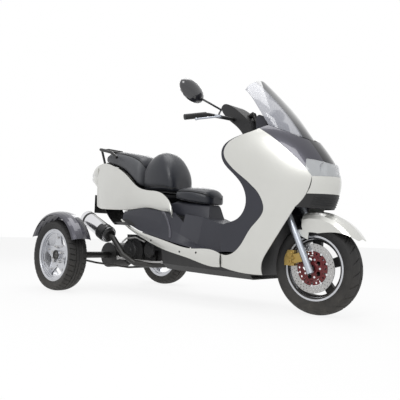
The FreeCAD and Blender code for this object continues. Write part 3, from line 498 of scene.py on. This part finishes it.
profile = tyre_profile(FRONT_R, FRONT_W, 0.167, 0.038, 0.026, 1.0, 46)
points, faces = turned(FRONT_HUB, profile, 720, front_tread)
sharpen(new_piece("front_tyre_treaded", points, faces, "tyre", "front_wheel", "tyre_rubber",
                  ["front_tyre"]))
for side, hub in REAR_HUBS.items():
    profile = tyre_profile(REAR_R, REAR_W, 0.171, 0.047, 0.016, 0.9, 44)
    points, faces = turned(hub, profile, 600, rear_tread)
    tyre = "rear_tyre_" + side
    sharpen(new_piece(tyre + "_treaded", points, faces, "tyre", "rear_wheel_" + side,
                      "tyre_rubber", [tyre]))
print("tyres", len(points), "points each")

# %% [markdown]
# Bolts, rivets and nuts turn up all over a machine.  One helper makes a short turned or
# six-sided stud along any direction, and many of them join into one piece.

# %% Studs and nuts


def ring_about(centre, way, radius, sides):
    """Points of a ring round a direction."""
    first = way.orthogonal().normalized()
    second = way.cross(first)
    turns = [2 * pi * k / sides for k in range(sides)]
    return [centre + radius * (cos(turn) * first + sin(turn) * second) for turn in turns]


def add_caps(faces, start, sides, rows):
    """Closes the first and the last row of a run of rings."""
    faces.append(tuple(range(start, start + sides)))
    faces.append(tuple(reversed(range(start + (rows - 1) * sides, start + rows * sides))))


def add_stud(points, faces, centre, way, radius, height, sides=6):
    """Adds a chamfered stud that stands on a surface."""
    way = Vector(way).normalized()
    start = len(points)
    chamfer = min(radius, height) * 0.22
    levels = [(0, radius), (height - chamfer, radius), (height, radius - chamfer)]
    for rise, reach in levels:
        points.extend(ring_about(Vector(centre) + way * rise, way, reach, sides))
    skin(faces, start, sides, len(levels))
    add_caps(faces, start, sides, len(levels))


def add_stud_ring(points, faces, hub, y, out, radius, count, first_turn, stud):
    """Adds even studs round an axle; stud holds its radius, height and number of sides."""
    for k in range(count):
        turn = first_turn + 2 * pi * k / count
        spot = (hub.x + radius * cos(turn), y, hub.z + radius * sin(turn))
        add_stud(points, faces, spot, (0, out, 0), *stud)


def add_tube(points, faces, path, radius, sides=10):
    """Adds a round tube along a path of points, with closed ends."""
    start = len(points)
    for place, point in enumerate(path):
        before, after = path[max(place - 1, 0)], path[min(place + 1, len(path) - 1)]
        way = (Vector(after) - Vector(before)).normalized()
        side = way.cross(Vector((0, 0, 1)))
        side = side.normalized() if side.length > 0.01 else Vector((0, 1, 0))
        lift = side.cross(way)
        for k in range(sides):
            turn = 2 * pi * k / sides
            points.append(Vector(point) + radius * (cos(turn) * side + sin(turn) * lift))
    skin(faces, start, sides, len(path))
    add_caps(faces, start, sides, len(path))


def add_turned(points, faces, hub, profile, steps, out=1, base=0.0):
    """Adds a turned form about a sideways axle, measured outwards from a base."""
    start = len(points)
    more_points, more_faces = turned(hub, [(r, base + out * y) for r, y in profile], steps)
    points.extend(more_points)
    faces.extend(tuple(start + k for k in face) for face in more_faces)


print("stud and tube helpers ready")


# %% [markdown]
# The rear wheels are deep dishes: a bright outer lip, a stepped barrel and a star-shaped
# plate.  The plate comes from the construction; the lip, the nuts, the hub's dark bore
# and the valve are added here.

# %% Rear wheel details
REAR_LIP = [(0.1785, 0.0500), (0.1790, 0.0530), (0.1765, 0.0545), (0.1695, 0.0540),
            (0.1655, 0.0500), (0.1635, 0.0400), (0.1555, 0.0380), (0.1535, 0.0240),
            (0.1525, 0.0240), (0.1525, 0.0390), (0.1620, 0.0410), (0.1635, 0.0505)]
REAR_CAP = [(0.0345, 0.0302), (0.0345, 0.0340), (0.030, 0.0350), (0.026, 0.0330),
            (0.0235, 0.0200), (0.0135, 0.0200), (0.0135, 0.0302)]
NUTS = [   # circle, first turn, size
    (0.055, pi / 2, (0.0095, 0.016)), (0.120, pi / 2, (0.0075, 0.008, 16)),
    (0.073, 0.7 * pi, (0.006, 0.005, 16)),
]
for side, out in SIDES.items():
    hub, wheel = REAR_HUBS[side], "rear_wheel_" + side
    points, faces = [], []
    add_turned(points, faces, hub, REAR_LIP, 120, out)
    sharpen(new_piece(wheel + "_lip", points, faces, "alloy", wheel, "wheel_alloy"))
    points, faces = [], []
    for radius, turn, stud in NUTS:
        add_stud_ring(points, faces, hub, hub.y + out * 0.015, out, radius, 5, turn, stud)
    add_tube(points, faces, [(hub.x - 0.145, hub.y + out * 0.02, hub.z - 0.045),
                             (hub.x - 0.138, hub.y + out * 0.045, hub.z - 0.043)], 0.0035)
    sharpen(new_piece(wheel + "_nuts", points, faces, "disc", wheel, "bright_steel"))
    points, faces = [], []
    add_turned(points, faces, hub, REAR_CAP, 48, out)
    sharpen(new_piece(wheel + "_cap", points, faces, "steel", wheel, "frame_steel"))
print("rear wheel details made")

# %% [markdown]
# The front disc has a drilled steel band round a dark red carrier.  Both are rings of
# equal cells with a round hole in each cell, so a hole is real and light passes through.

# %% Drilled disc


def add_holed_ring(points, faces, thick, inner_r, outer_r, cells, hole_r, offset=0.0):
    """Adds a flat ring of cells in the disc's plane, each with a round hole."""
    middle_r = (inner_r + outer_r) / 2
    half_step = pi / cells
    for cell in range(cells):
        a = (cell + offset) * 2 * half_step
        low, high = a - half_step, a + half_step
        edge = [(inner_r, low), (inner_r, a), (inner_r, high), (middle_r, high),
                (outer_r, high), (outer_r, a), (outer_r, low), (middle_r, low)]
        centre = Vector((middle_r * cos(a), 0, middle_r * sin(a)))
        start = len(points)
        for face_y in (DISC_ACROSS - thick / 2, DISC_ACROSS + thick / 2):
            rim = [Vector((r * cos(t), 0, r * sin(t))) for r, t in edge]
            hole = [centre + (spot - centre).normalized() * hole_r for spot in rim]
            face_hub = FRONT_HUB + Vector((0, face_y, 0))
            points.extend(face_hub + spot for spot in rim + hole)
        for k in range(8):
            after = (k + 1) % 8
            faces.append((start + k, start + after, start + 8 + after, start + 8 + k))
            faces.append((start + 16 + after, start + 16 + k, start + 24 + k, start + 24 + after))
            faces.append((start + 8 + k, start + 8 + after, start + 24 + after, start + 24 + k))
        for first in (0, 1, 4, 5):
            second = first + 1
            faces.append((start + second, start + first, start + 16 + first, start + 16 + second))


DISC_ACROSS = -0.054
DISC_FACE = DISC_ACROSS - 0.0025
points, faces = [], []
for place, low_r in enumerate((0.0925, 0.1055, 0.1185)):
    add_holed_ring(points, faces, 0.005, low_r, low_r + 0.013, 36, 0.0031, place / 3)
sharpen(new_piece("front_disc_band", points, faces, "disc", "front_wheel", "disc_steel",
                  ["brake_disc"]))
points, faces = [], []
add_holed_ring(points, faces, 0.0055, 0.068, 0.0905, 20, 0.0062)
add_holed_ring(points, faces, 0.0055, 0.026, 0.068, 5, 0.0135, 0.5)
boss = [(0.030, -0.0602), (0.034, -0.0565), (0.034, -0.0445), (0.018, -0.0445), (0.018, -0.0602)]
add_turned(points, faces, FRONT_HUB, boss, 48)
sharpen(new_piece("front_disc_carrier", points, faces, "carrier", "front_wheel", "disc_steel"))
points, faces = [], []
add_stud_ring(points, faces, FRONT_HUB, DISC_FACE, -1, 0.0915, 10, pi / 10, (0.0062, 0.0028, 18))
add_stud_ring(points, faces, FRONT_HUB, DISC_FACE, -1, 0.048, 5, 0, (0.0068, 0.0035))
sharpen(new_piece("front_disc_rivets", points, faces, "bright", "front_wheel", "bright_steel"))
print("disc made")

# %% [markdown]
# The front wheel's lip is polished, and the cast part inside is dark.  So the cast wheel
# keeps its own shape in a darker finish, and a bright lip ring lies on each flange.

# %% Front wheel lip
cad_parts["front_rim"].data.materials[0] = F["cast"]
FRONT_LIP = [(0.1745, 0.0380), (0.1752, 0.0405), (0.1740, 0.0423), (0.1690, 0.0424),
             (0.1620, 0.0412), (0.1560, 0.0330), (0.1540, 0.0230), (0.1530, 0.0235),
             (0.1548, 0.0340), (0.1610, 0.0404), (0.1690, 0.0412)]
for side, out in SIDES.items():
    points, faces = [], []
    add_turned(points, faces, FRONT_HUB, FRONT_LIP, 144, out)
    name = "front_wheel_lip_" + side
    sharpen(new_piece(name, points, faces, "alloy", "front_wheel", "wheel_alloy"))
print("front wheel lip made")

# %% [markdown]
# The seats are foam under vinyl.  Each pad is a crowned closed form: for every station
# along it, the construction's pad is probed for its height and width, and a rounded
# section is drawn between.  Its ends pull in, a piping cord follows each seam, and the
# vinyl dips beside the seams where thread holds it down.

# %% Seat pads
CROWN = 0.42   # where the section is widest, as a share of its height
SEAM_DIP = 0.006
PIPING_R = 0.0032


def probe(node):
    """A search tree over a construction node's faces."""
    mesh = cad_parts[node].data
    return BVHTree.FromPolygons([v.co.copy() for v in mesh.vertices],
                                [p.vertices[:] for p in mesh.polygons])


def pad_stations(node, stations, inset):
    """For stations along a pad: x, low and high edge, and half width."""
    tree = probe(node)
    low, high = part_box(node)
    rows = []
    for place in range(stations):
        x = low.x + inset + (high.x - low.x - 2 * inset) * place / (stations - 1)
        top = tree.ray_cast(Vector((x, 0.001, high.z + 0.5)), Vector((0, 0, -1)))[0]
        base = tree.ray_cast(Vector((x, 0.001, low.z - 0.5)), Vector((0, 0, 1)))[0]
        level = base.z + (top.z - base.z) * 0.45
        wide = tree.ray_cast(Vector((x, -1.0, level)), Vector((0, 1, 0)))[0]
        half = abs(wide.y) if wide else size(node).y * 0.45
        rows.append((x, base.z, top.z, half))
    return rows


def smooth_rows(rows, passes=3):
    """Evens the probed stations out."""
    for _ in range(passes):
        rows = [rows[0]] + [
            (row[0],) + tuple((before[k] + 2 * row[k] + after[k]) / 4 for k in (1, 2, 3))
            for before, row, after in zip(rows, rows[1:], rows[2:])] + [rows[-1]]
    return rows


def signed_power(value, power):
    """A power that keeps the sign, for sections between an ellipse and a square."""
    return abs(value) ** power * (1 if value >= 0 else -1)


def pad_point(row, turn, pull, seams=()):
    """A point of the pad's rounded section; pull shrinks it near the pad's ends."""
    x, base, top, half = row
    middle_z = base + (top - base) * CROWN
    up = sin(turn) >= 0
    reach = (top - middle_z) if up else (middle_z - base)
    y = half * signed_power(cos(turn), 0.82 if up else 0.45)
    z = reach * signed_power(sin(turn), 0.92 if up else 0.4)
    for seam in seams:
        dip = SEAM_DIP * max(0.0, 1 - abs(turn - seam) / 0.16) ** 2
        y -= dip * cos(turn)
        z -= dip * sin(turn)
    return Vector((x, y * pull, middle_z + z * pull))


def pull_at(share, length, soft=0.035):
    """How far a section is drawn in, near the two ends of a pad."""
    near = min(share, 1 - share) * length
    if near >= soft:
        return 1.0
    return 0.62 + 0.38 * sqrt(max(0.0, 1 - ((soft - near) / soft) ** 2))


def make_pad(name, node, finish_name, body, slot, seam_turn, top_finish=None, stations=64,
             around=64):
    """A crowned pad in the place of a construction pad, with its piping."""
    rows = smooth_rows(pad_stations(node, stations, 0.002))
    length = rows[-1][0] - rows[0][0]
    pulls = [pull_at(place / (stations - 1), length) for place in range(stations)]
    seams = (seam_turn, pi - seam_turn)
    points, faces = [], []
    for row, pull in zip(rows, pulls):
        points.extend(pad_point(row, 2 * pi * k / around, pull, seams) for k in range(around))
    skin(faces, 0, around, stations)
    for place in (0, stations - 1):
        rim = before = list(range(place * around, (place + 1) * around))
        x, base, top, _ = rows[place]
        centre = Vector((x, 0, base + (top - base) * CROWN))
        for shrink in (0.85, 0.6, 0.3):
            now = list(range(len(points), len(points) + around))
            points.extend([centre.lerp(points[k], shrink) for k in rim])
            for k in range(around):
                after = (k + 1) % around
                faces.append((before[k], before[after], now[after], now[k]))
            before = now
        faces.append(tuple(before))
    piece = new_piece(name, points, faces, finish_name, body, slot, [node])
    if top_finish:
        piece.data.materials.append(F[top_finish])
        for polygon in piece.data.polygons[:(stations - 1) * around]:
            turn = 2 * pi * (polygon.index % around + 0.5) / around
            if seam_turn < turn < pi - seam_turn:
                polygon.material_index = 1
    cords, cord_faces = [], []
    for seam in seams:
        path = [pad_point(row, seam, pull * 0.995) for row, pull in zip(rows, pulls)]
        add_tube(cords, cord_faces, path, PIPING_R, 8)
    new_piece(name + "_piping", cords, cord_faces, "black", body, "black_plastic")
    print(name, "length", round(length, 3), "points", len(points))


make_pad("rider_cushion", "rider_seat", "vinyl", "frame", "seat_vinyl", 0.42)
make_pad("backrest_cushion", "backrest_pad", "vinyl", "seat_lid", "seat_vinyl", -0.35)
make_pad("pillion_cushion", "pillion_pad", "grey_vinyl", "seat_lid", "pillion_vinyl", 0.78,
         top_finish="vinyl")

# %% [markdown]
# Small flat things lie on curved panels: mirror glass, dial faces, and a black patch of painted
# shade for a recess.
# The helper drops a small grid onto the panel and lifts it a hair, so it follows the curve.

# %% Things that lie on a panel
DROP_FROM = 0.15
PATCH_RINGS = 6
PATCH_STEPS = 36


def lay_on(points, faces, tree, centre, across, along, drop, half_u, half_v, lift, power=2.0):
    """Adds a rounded patch on a surface; power 2 is an ellipse and more is squarer."""
    across, along, drop = (Vector(way).normalized() for way in (across, along, drop))
    start = len(points)
    spots = [(0.0, 0.0)]
    for ring in range(1, PATCH_RINGS + 1):
        reach = ring / PATCH_RINGS
        for k in range(PATCH_STEPS):
            turn = 2 * pi * k / PATCH_STEPS
            spots.append((reach * signed_power(cos(turn), 2 / power),
                          reach * signed_power(sin(turn), 2 / power)))
    for u, v in spots:
        origin = Vector(centre) + across * (u * half_u) + along * (v * half_v) - drop * DROP_FROM
        hit = tree.ray_cast(origin, drop)[0] or origin + drop * DROP_FROM
        points.append(hit - drop * lift)
    for k in range(PATCH_STEPS):
        faces.append((start, start + 1 + k, start + 1 + (k + 1) % PATCH_STEPS))
    skin(faces, start + 1, PATCH_STEPS, PATCH_RINGS)


for side, out in SIDES.items():
    low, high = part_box("mirror_" + side)
    points, faces = [], []
    lay_on(points, faces, probe("mirror_" + side), (low.x - 0.02, out * 0.428, high.z - 0.062),
           (0, 1, 0), (0, 0, 1), (1, 0, 0), 0.058, 0.036, 0.0008, 2.4)
    new_piece("mirror_glass_" + side, points, faces, "mirror_face", "steering", "mirror_black")
print("mirror glass made")

# %% [markdown]
# The screen is a smoked grey and clear at its sides, and carries painted shade down its middle for
# the dim look of its curved crest seen at a grazing angle.  The painted shade depends on how far a
# point is from the centre line, so it sits on the screen from every side.

# %% Screen with painted shade down its middle


def make_centre_band():
    """Mask that is 1 near the machine's centre line and fades out sideways."""
    group, given, result = new_group(
        "centre_band", [("Half width", "Float", 0.06), ("Fade", "Float", 0.02)],
        [("Mask", "Float")])
    split = add_node(group, "SeparateXYZ")
    away = add_node(group, "Math", operation="ABSOLUTE")
    edge = add_node(group, "Math", operation="ADD")
    fade = add_node(group, "MapRange", {"To Min": 1.0, "To Max": 0.0})
    wire(group, (add_node(group, "TexCoord"), "Object", split, 0), (split, "Y", away, 0),
         (away, 0, fade, "Value"), (given, "Half width", fade, "From Min"),
         (given, "Half width", edge, 0), (given, "Fade", edge, 1), (edge, 0, fade, "From Max"),
         (fade, "Result", result, "Mask"))
    return group


BAND = make_centre_band()
screen_tree = F["screen"].node_tree
screen_shader = screen_tree.nodes["Principled BSDF"]
# Painted shade: near the centre line the screen's colour turns almost black and it lets less light
# through.
band = add_node(screen_tree, "Group", {"Half width": 0.055, "Fade": 0.012}, node_tree=BAND)
tone = add_node(screen_tree, "Mix", {"A": (0.40, 0.41, 0.46, 1), "B": (0.010, 0.011, 0.016, 1)},
                data_type="RGBA")
cover = add_node(screen_tree, "MapRange", {"To Min": 0.58, "To Max": 0.97})
wire(screen_tree, (band, "Mask", tone, "Factor"), (band, "Mask", cover, "Value"),
     (tone, "Result", screen_shader, "Base Color"), (cover, "Result", screen_shader, "Alpha"))
print("screen band made")

# %% [markdown]
# Behind the clear lens sit two bright bowls with a bulb each.  They are turned forms that
# look forward.

# %% Headlamp bowls


def turned_forward(points, faces, place, profile, steps):
    """Adds a form of (radius, forward) pairs turned about a forward axis."""
    start = len(points)
    for step in range(steps):
        turn = 2 * pi * step / steps
        points.extend(place + Vector((ahead, radius * cos(turn), radius * sin(turn)))
                      for radius, ahead in profile)
    skin(faces, start, len(profile), steps, round_row=False, round_all=True)


BOWL = [(0.004, -0.016), (0.014, -0.014), (0.024, -0.006), (0.031, 0.006), (0.033, 0.012),
        (0.036, 0.012)]
BULB = [(0.0001, 0.008), (0.004, 0.007), (0.006, 0.002), (0.006, -0.014), (0.004, -0.016)]
lamp_low, lamp_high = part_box("headlamp")
for side, out in SIDES.items():
    points, faces = [], []
    seat = Vector((lamp_high.x - 0.062, out * 0.066, (lamp_low.z + lamp_high.z) / 2 - 0.002))
    turned_forward(points, faces, seat, BOWL, 40)
    turned_forward(points, faces, seat, BULB, 20)
    new_piece("headlamp_bowl_" + side, points, faces, "bright", "frame", "lamp_clear")
print("headlamp bowls made")

# %% [markdown]
# The silencer wears three straps, and a black heat guard with slots near its front end.

# %% Silencer trim
SILENCER_BACK = Vector((-0.877, -0.262, 0.512))
SILENCER_FRONT = Vector((-0.605, -0.262, 0.392))
SILENCER_R = 0.056
STRAP = ((-0.009, 0.0002), (-0.008, 0.0026), (0.008, 0.0026), (0.009, 0.0002))
STRAP_SIDES = 64
along = (SILENCER_BACK - SILENCER_FRONT).normalized()
points, faces = [], []
for share in (0.06, 0.16, 0.86):
    spot = SILENCER_FRONT.lerp(SILENCER_BACK, share)
    start = len(points)
    for ahead, rise in STRAP:
        points.extend(ring_about(spot + along * ahead, along, SILENCER_R + rise, STRAP_SIDES))
    skin(faces, start, STRAP_SIDES, len(STRAP))
sharpen(new_piece("silencer_straps", points, faces, "steel", "frame", "frame_steel"))
points, faces = [], []
first = along.cross(Vector((0, 0, 1))).normalized()
second = first.cross(along)
outward = first * (1 if first.y < 0 else -1)
COLUMNS, ROWS = 22, 26
for column in range(COLUMNS + 1):
    turn = radians(-62 + 124 * column / COLUMNS)
    way = (outward * cos(turn) + second * sin(turn)).normalized()
    bulge = 0.006 + 0.004 * cos(radians(-90 + 180 * column / COLUMNS))
    for place in range(ROWS + 1):
        spot = SILENCER_FRONT.lerp(SILENCER_BACK, 0.03 + 0.22 * place / ROWS)
        slotted = place % 5 in (2, 3) and 5 < column < COLUMNS - 5
        points.append(spot + way * (SILENCER_R + bulge - (0.0016 if slotted else 0.0)))
skin(faces, 0, ROWS + 1, COLUMNS + 1, round_row=False)
guard = new_piece("silencer_guard", points, faces, "black", "frame", "black_plastic")
guard.modifiers.new("wall", "SOLIDIFY").thickness = 0.0016
print("silencer trim made")

# %% [markdown]
# The sill's screws and the grille's bars are small, but the eye looks for them on a
# machine of this size.

# %% Screws and grille bars
SCREWS = ((0.075, 0.303), (0.215, 0.303), (-0.20, 0.365))


def hit_from_side(tree, x, z, out, reach=0.5):
    """Where a sideways look towards the centre line meets a surface, or nothing."""
    return tree.ray_cast(Vector((x, out * reach, z)), Vector((0, -out, 0)))[0]


for side, out in SIDES.items():
    tree = probe("side_moulding_" + side)
    points, faces = [], []
    for x, z in SCREWS:
        hit = hit_from_side(tree, x, z, out, 0.4)
        if hit:
            base = hit - Vector((0, out * 0.0008, 0))
            add_stud(points, faces, base, (0, out, 0), 0.0065, 0.0022, 20)
    sharpen(new_piece("sill_screws_" + side, points, faces, "steel", "frame", "frame_steel"))
points, faces = [], []
grille_low, grille_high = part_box("nose_grille")
grille_tree = probe("nose_grille")
for bar in range(5):
    level = grille_low.z + (grille_high.z - grille_low.z) * (0.2 + 0.15 * bar)
    path = []
    for k in range(25):
        ahead = Vector((grille_high.x + 0.1, -0.115 + 0.23 * k / 24, level))
        hit = grille_tree.ray_cast(ahead, Vector((-1, 0, 0)))[0]
        if hit:
            path.append(hit + Vector((0.001, 0, 0)))
    if len(path) > 4:
        add_tube(points, faces, path, 0.0028, 8)
new_piece("grille_bars", points, faces, "black", "frame", "black_plastic")
print("small details made")

# %% [markdown]
# The trim under the rider's seat is one moulding with rounded corners.  It leans forward
# at the front, narrows towards the seat and closes the view through the machine.

# %% Seat trim
SEAT_TRIM = [   # x, half width below and above, z below and above
    (-0.250, 0.120, 0.118, 0.540, 0.606), (-0.150, 0.126, 0.122, 0.540, 0.612),
    (-0.095, 0.126, 0.112, 0.534, 0.628), (-0.020, 0.124, 0.104, 0.520, 0.622),
    (0.060, 0.112, 0.094, 0.506, 0.612), (0.118, 0.096, 0.072, 0.494, 0.604),
    (0.146, 0.084, 0.050, 0.486, 0.602),
]
TRIM_SIDES = 28
points, faces = [], []
for x, low_half, high_half, low_z, high_z in SEAT_TRIM:
    for k in range(TRIM_SIDES):
        turn = 2 * pi * (k + 0.5) / TRIM_SIDES
        u, v = signed_power(cos(turn), 0.28), signed_power(sin(turn), 0.28)
        height = (v + 1) / 2
        lean = 0.024 * (1 - height) if x > 0.1 else 0
        points.append((x + lean, u * (low_half + (high_half - low_half) * height),
                       low_z + (high_z - low_z) * height))
skin(faces, 0, TRIM_SIDES, len(SEAT_TRIM))
add_caps(faces, 0, TRIM_SIDES, len(SEAT_TRIM))
trim = new_piece("seat_trim", points, faces, "inner", "frame", "inner_plastic", ["seat_plinth"])
sharpen(trim, 50)
print("seat trim made")

# %% [markdown]
# The engine's right side has a large and a small round cover with a ring of bolts each, a
# finned barrel ahead of them, and two rods.  They are turned forms and tubes.

# %% Engine and underside details
ENGINE_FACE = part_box("engine_block")[0].y
COVERS = [   # middle, profile, then the bolts' circle, count, base and size
    (Vector((-0.50, 0, 0.285)),
     [(0.0005, -0.018), (0.020, -0.018), (0.026, -0.012), (0.060, -0.012), (0.066, -0.006),
      (0.078, -0.005), (0.082, 0.004), (0.0005, 0.004)], 72, 0.072, 9, -0.005, (0.0055, 0.006)),
    (Vector((-0.30, 0, 0.300)),
     [(0.0005, -0.012), (0.030, -0.012), (0.038, -0.005), (0.052, -0.004), (0.055, 0.004),
      (0.0005, 0.004)], 60, 0.045, 6, -0.004, (0.005, 0.005)),
]
points, faces = [], []
for hub, profile, steps, circle, count, base, bolt in COVERS:
    add_turned(points, faces, hub, profile, steps, base=ENGINE_FACE)
    add_stud_ring(points, faces, hub, ENGINE_FACE + base, -1, circle, count, 0, bolt)
sharpen(new_piece("engine_covers", points, faces, "cast", "frame", "engine_alloy"))
points, faces = [], []
FIN_SIDES = 28
for fin in range(9):
    start = len(points)
    for rise in (0.0, 0.0045):
        for k in range(FIN_SIDES):
            turn = 2 * pi * k / FIN_SIDES
            points.append((-0.205 + 0.055 * signed_power(cos(turn), 0.5),
                           -0.148 + 0.016 * signed_power(sin(turn), 0.5),
                           0.300 + 0.011 * fin + rise))
    skin(faces, start, FIN_SIDES, 2)
    add_caps(faces, start, FIN_SIDES, 2)
sharpen(new_piece("engine_fins", points, faces, "cast", "frame", "engine_alloy"))
points, faces = [], []
add_tube(points, faces, [(-0.62, -0.165, 0.232), (-0.45, -0.172, 0.226), (-0.25, -0.170, 0.222),
                         (-0.16, -0.160, 0.226)], 0.007, 12)
add_tube(points, faces, [(-0.58, -0.160, 0.345), (-0.52, -0.172, 0.372), (-0.42, -0.170, 0.380),
                         (-0.34, -0.158, 0.352)], 0.006, 12)
add_stud(points, faces, (-0.62, -0.160, 0.232), (0, -1, 0), 0.012, 0.014, 20)
add_stud(points, faces, (-0.16, -0.155, 0.226), (0, -1, 0), 0.010, 0.012, 20)
sharpen(new_piece("underside_rods", points, faces, "disc", "frame", "bright_steel"))
print("engine details made")

# %% [markdown]
# The caliper is a gold casting.  The construction gives its block; two piston bosses, a
# pad pin and four ribs stand on its outer face.

# %% Caliper details
cal_low, cal_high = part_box("brake_caliper")
cal_tree = probe("brake_caliper")
cal_z = (cal_low.z + cal_high.z) / 2
BOSSES = [   # ahead of the block's back, above its middle, radius, height
    (0.030, -0.020, 0.017, 0.007), (0.034, 0.020, 0.017, 0.007), (0.062, 0.0, 0.007, 0.006),
]
points, faces = [], []
for ahead, rise, radius, height in BOSSES:
    start = Vector((cal_low.x + ahead, cal_low.y - 0.1, cal_z + rise))
    hit = cal_tree.ray_cast(start, Vector((0, 1, 0)))[0]
    if hit:
        base, top = hit + Vector((0, 0.001, 0)), hit - Vector((0, height, 0))
        add_stud(points, faces, base, (0, -1, 0), radius, height, 28)
        add_stud(points, faces, top, (0, -1, 0), radius * 0.5, 0.003, 6)
for rib in range(4):
    level = cal_z - 0.026 + rib * 0.017
    add_tube(points, faces, [(cal_low.x + 0.014, cal_low.y + 0.004, level),
                             (cal_low.x + 0.062, cal_low.y - 0.001, level)], 0.0028, 8)
sharpen(new_piece("caliper_bosses", points, faces, "gold", "steering", "caliper_gold"))
print("caliper details made")

# %% [markdown]
# The rider looks down on two round dials and a small round display between them.  A dial
# is a black face with a ring of pale ticks and a red needle; the ticks are real bars.

# %% Dials
dial_low, dial_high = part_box("instrument_cluster")
dial_tree = probe("instrument_cluster")
LOOK = Vector((0.82, 0, -0.57)).normalized()
UP_FACE = Vector((0.57, 0, 0.82)).normalized()
DIALS = ((-0.055, 0.036), (0.055, 0.036))
DISPLAY = (0.0, 0.017)
TICKS = 20
dial_middle = Vector((dial_low.x, 0, (dial_low.z + dial_high.z) / 2 + 0.02))


def add_bar(points, faces, spot, turn, reaches, lift, thickness):
    """Adds a thin bar that lies on a dial between two distances from its middle."""
    bar = []
    for reach in reaches:
        origin = spot + Vector((0, reach * cos(turn), 0)) + UP_FACE * (reach * sin(turn))
        hit = dial_tree.ray_cast(origin - LOOK * DROP_FROM, LOOK)[0]
        if hit:
            bar.append(hit - LOOK * lift)
    if len(bar) == 2:
        add_tube(points, faces, bar, thickness, 6)


dials, ticks, needles = ([], []), ([], []), ([], [])
for y, radius in DIALS + (DISPLAY,):
    lay_on(*dials, dial_tree, dial_middle + Vector((0, y, 0)), (0, 1, 0), UP_FACE, LOOK,
           radius, radius, 0.001)
for y, radius in DIALS:
    spot = dial_middle + Vector((0, y, 0))
    for tick in range(TICKS + 1):
        long = 0.006 if tick % 5 == 0 else 0.0035
        add_bar(*ticks, spot, radians(-40 + 260 * tick / TICKS),
                (radius * 0.92 - long, radius * 0.92), 0.0016, 0.0006)
    add_bar(*needles, spot, radians(205), (-0.004, radius * 0.72), 0.0026, 0.0009)
new_piece("dial_faces", *dials, "gloss", "frame", "mirror_black")
new_piece("dial_ticks", *ticks, "pearl", "frame", "silver_paint")
new_piece("dial_needles", *needles, "carrier", "frame", "silver_paint")
print("dials made")

# %% [markdown]
# The cowl's middle is black and runs on from the screen's dark band down to the lamp.  It
# wears the gunmetal paint with the same centre mask, a little wider.

# %% Cowl paint
F["cowl"] = finish("cowl_paint", *GUNMETAL, 0.30, 0.6, 0.8, FINE)
cowl_tree = F["cowl"].node_tree
cowl_base = cowl_tree.nodes["Principled BSDF"].inputs["Base Color"]
painted = cowl_base.links[0].from_socket
middle_band = add_node(cowl_tree, "Group", {"Half width": 0.062, "Fade": 0.002}, node_tree=BAND)
two_tone = add_node(cowl_tree, "Mix", {"B": (0.006, 0.006, 0.008, 1)}, data_type="RGBA")
wire(cowl_tree, (middle_band, "Mask", two_tone, "Factor"))
cowl_tree.links.new(painted, two_tone.inputs["A"])
cowl_tree.links.new(two_tone.outputs["Result"], cowl_base)
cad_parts["front_cowl"].data.materials[0] = F["cowl"]
print("cowl painted")

# %% [markdown]
# A raised band runs down each side of the floor moulding below the seat.  Behind it, a flat black
# patch on the moulding is painted shade for a hand recess that the moulding doesn't hollow out.
# Both follow the moulding's surface.

# %% Floor moulding's band and the painted shade of its recess
floor_tree = probe("floor_tunnel")
BAND_ROUTE = [(-0.150, 0.556), (-0.118, 0.528), (-0.088, 0.490), (-0.062, 0.448),
              (-0.042, 0.405), (-0.030, 0.372)]
for side, out in SIDES.items():
    path = []
    for (x0, z0), (x1, z1) in zip(BAND_ROUTE, BAND_ROUTE[1:]):
        for k in range(4):
            hit = hit_from_side(floor_tree, x0 + (x1 - x0) * k / 4, z0 + (z1 - z0) * k / 4, out)
            if hit:
                path.append(hit - Vector((0, out * 0.004, 0)))
    points, faces = [], []
    add_tube(points, faces, path, 0.0095, 14)
    new_piece("floor_band_" + side, points, faces, "gunmetal", "frame", "gunmetal_paint")
    points, faces = [], []
    # Painted shade: a flat black patch lifted a hair above the moulding stands for the shaded
    # hollow of the hand recess.
    lay_on(points, faces, floor_tree, (-0.455, out * 0.3, 0.482), (1, 0, -0.33), (0.33, 0, 1),
           (0, -out, 0), 0.066, 0.014, 0.0008)
    new_piece("painted_recess_shade_" + side, points, faces, "black", "frame", "black_plastic")
print("floor details made")
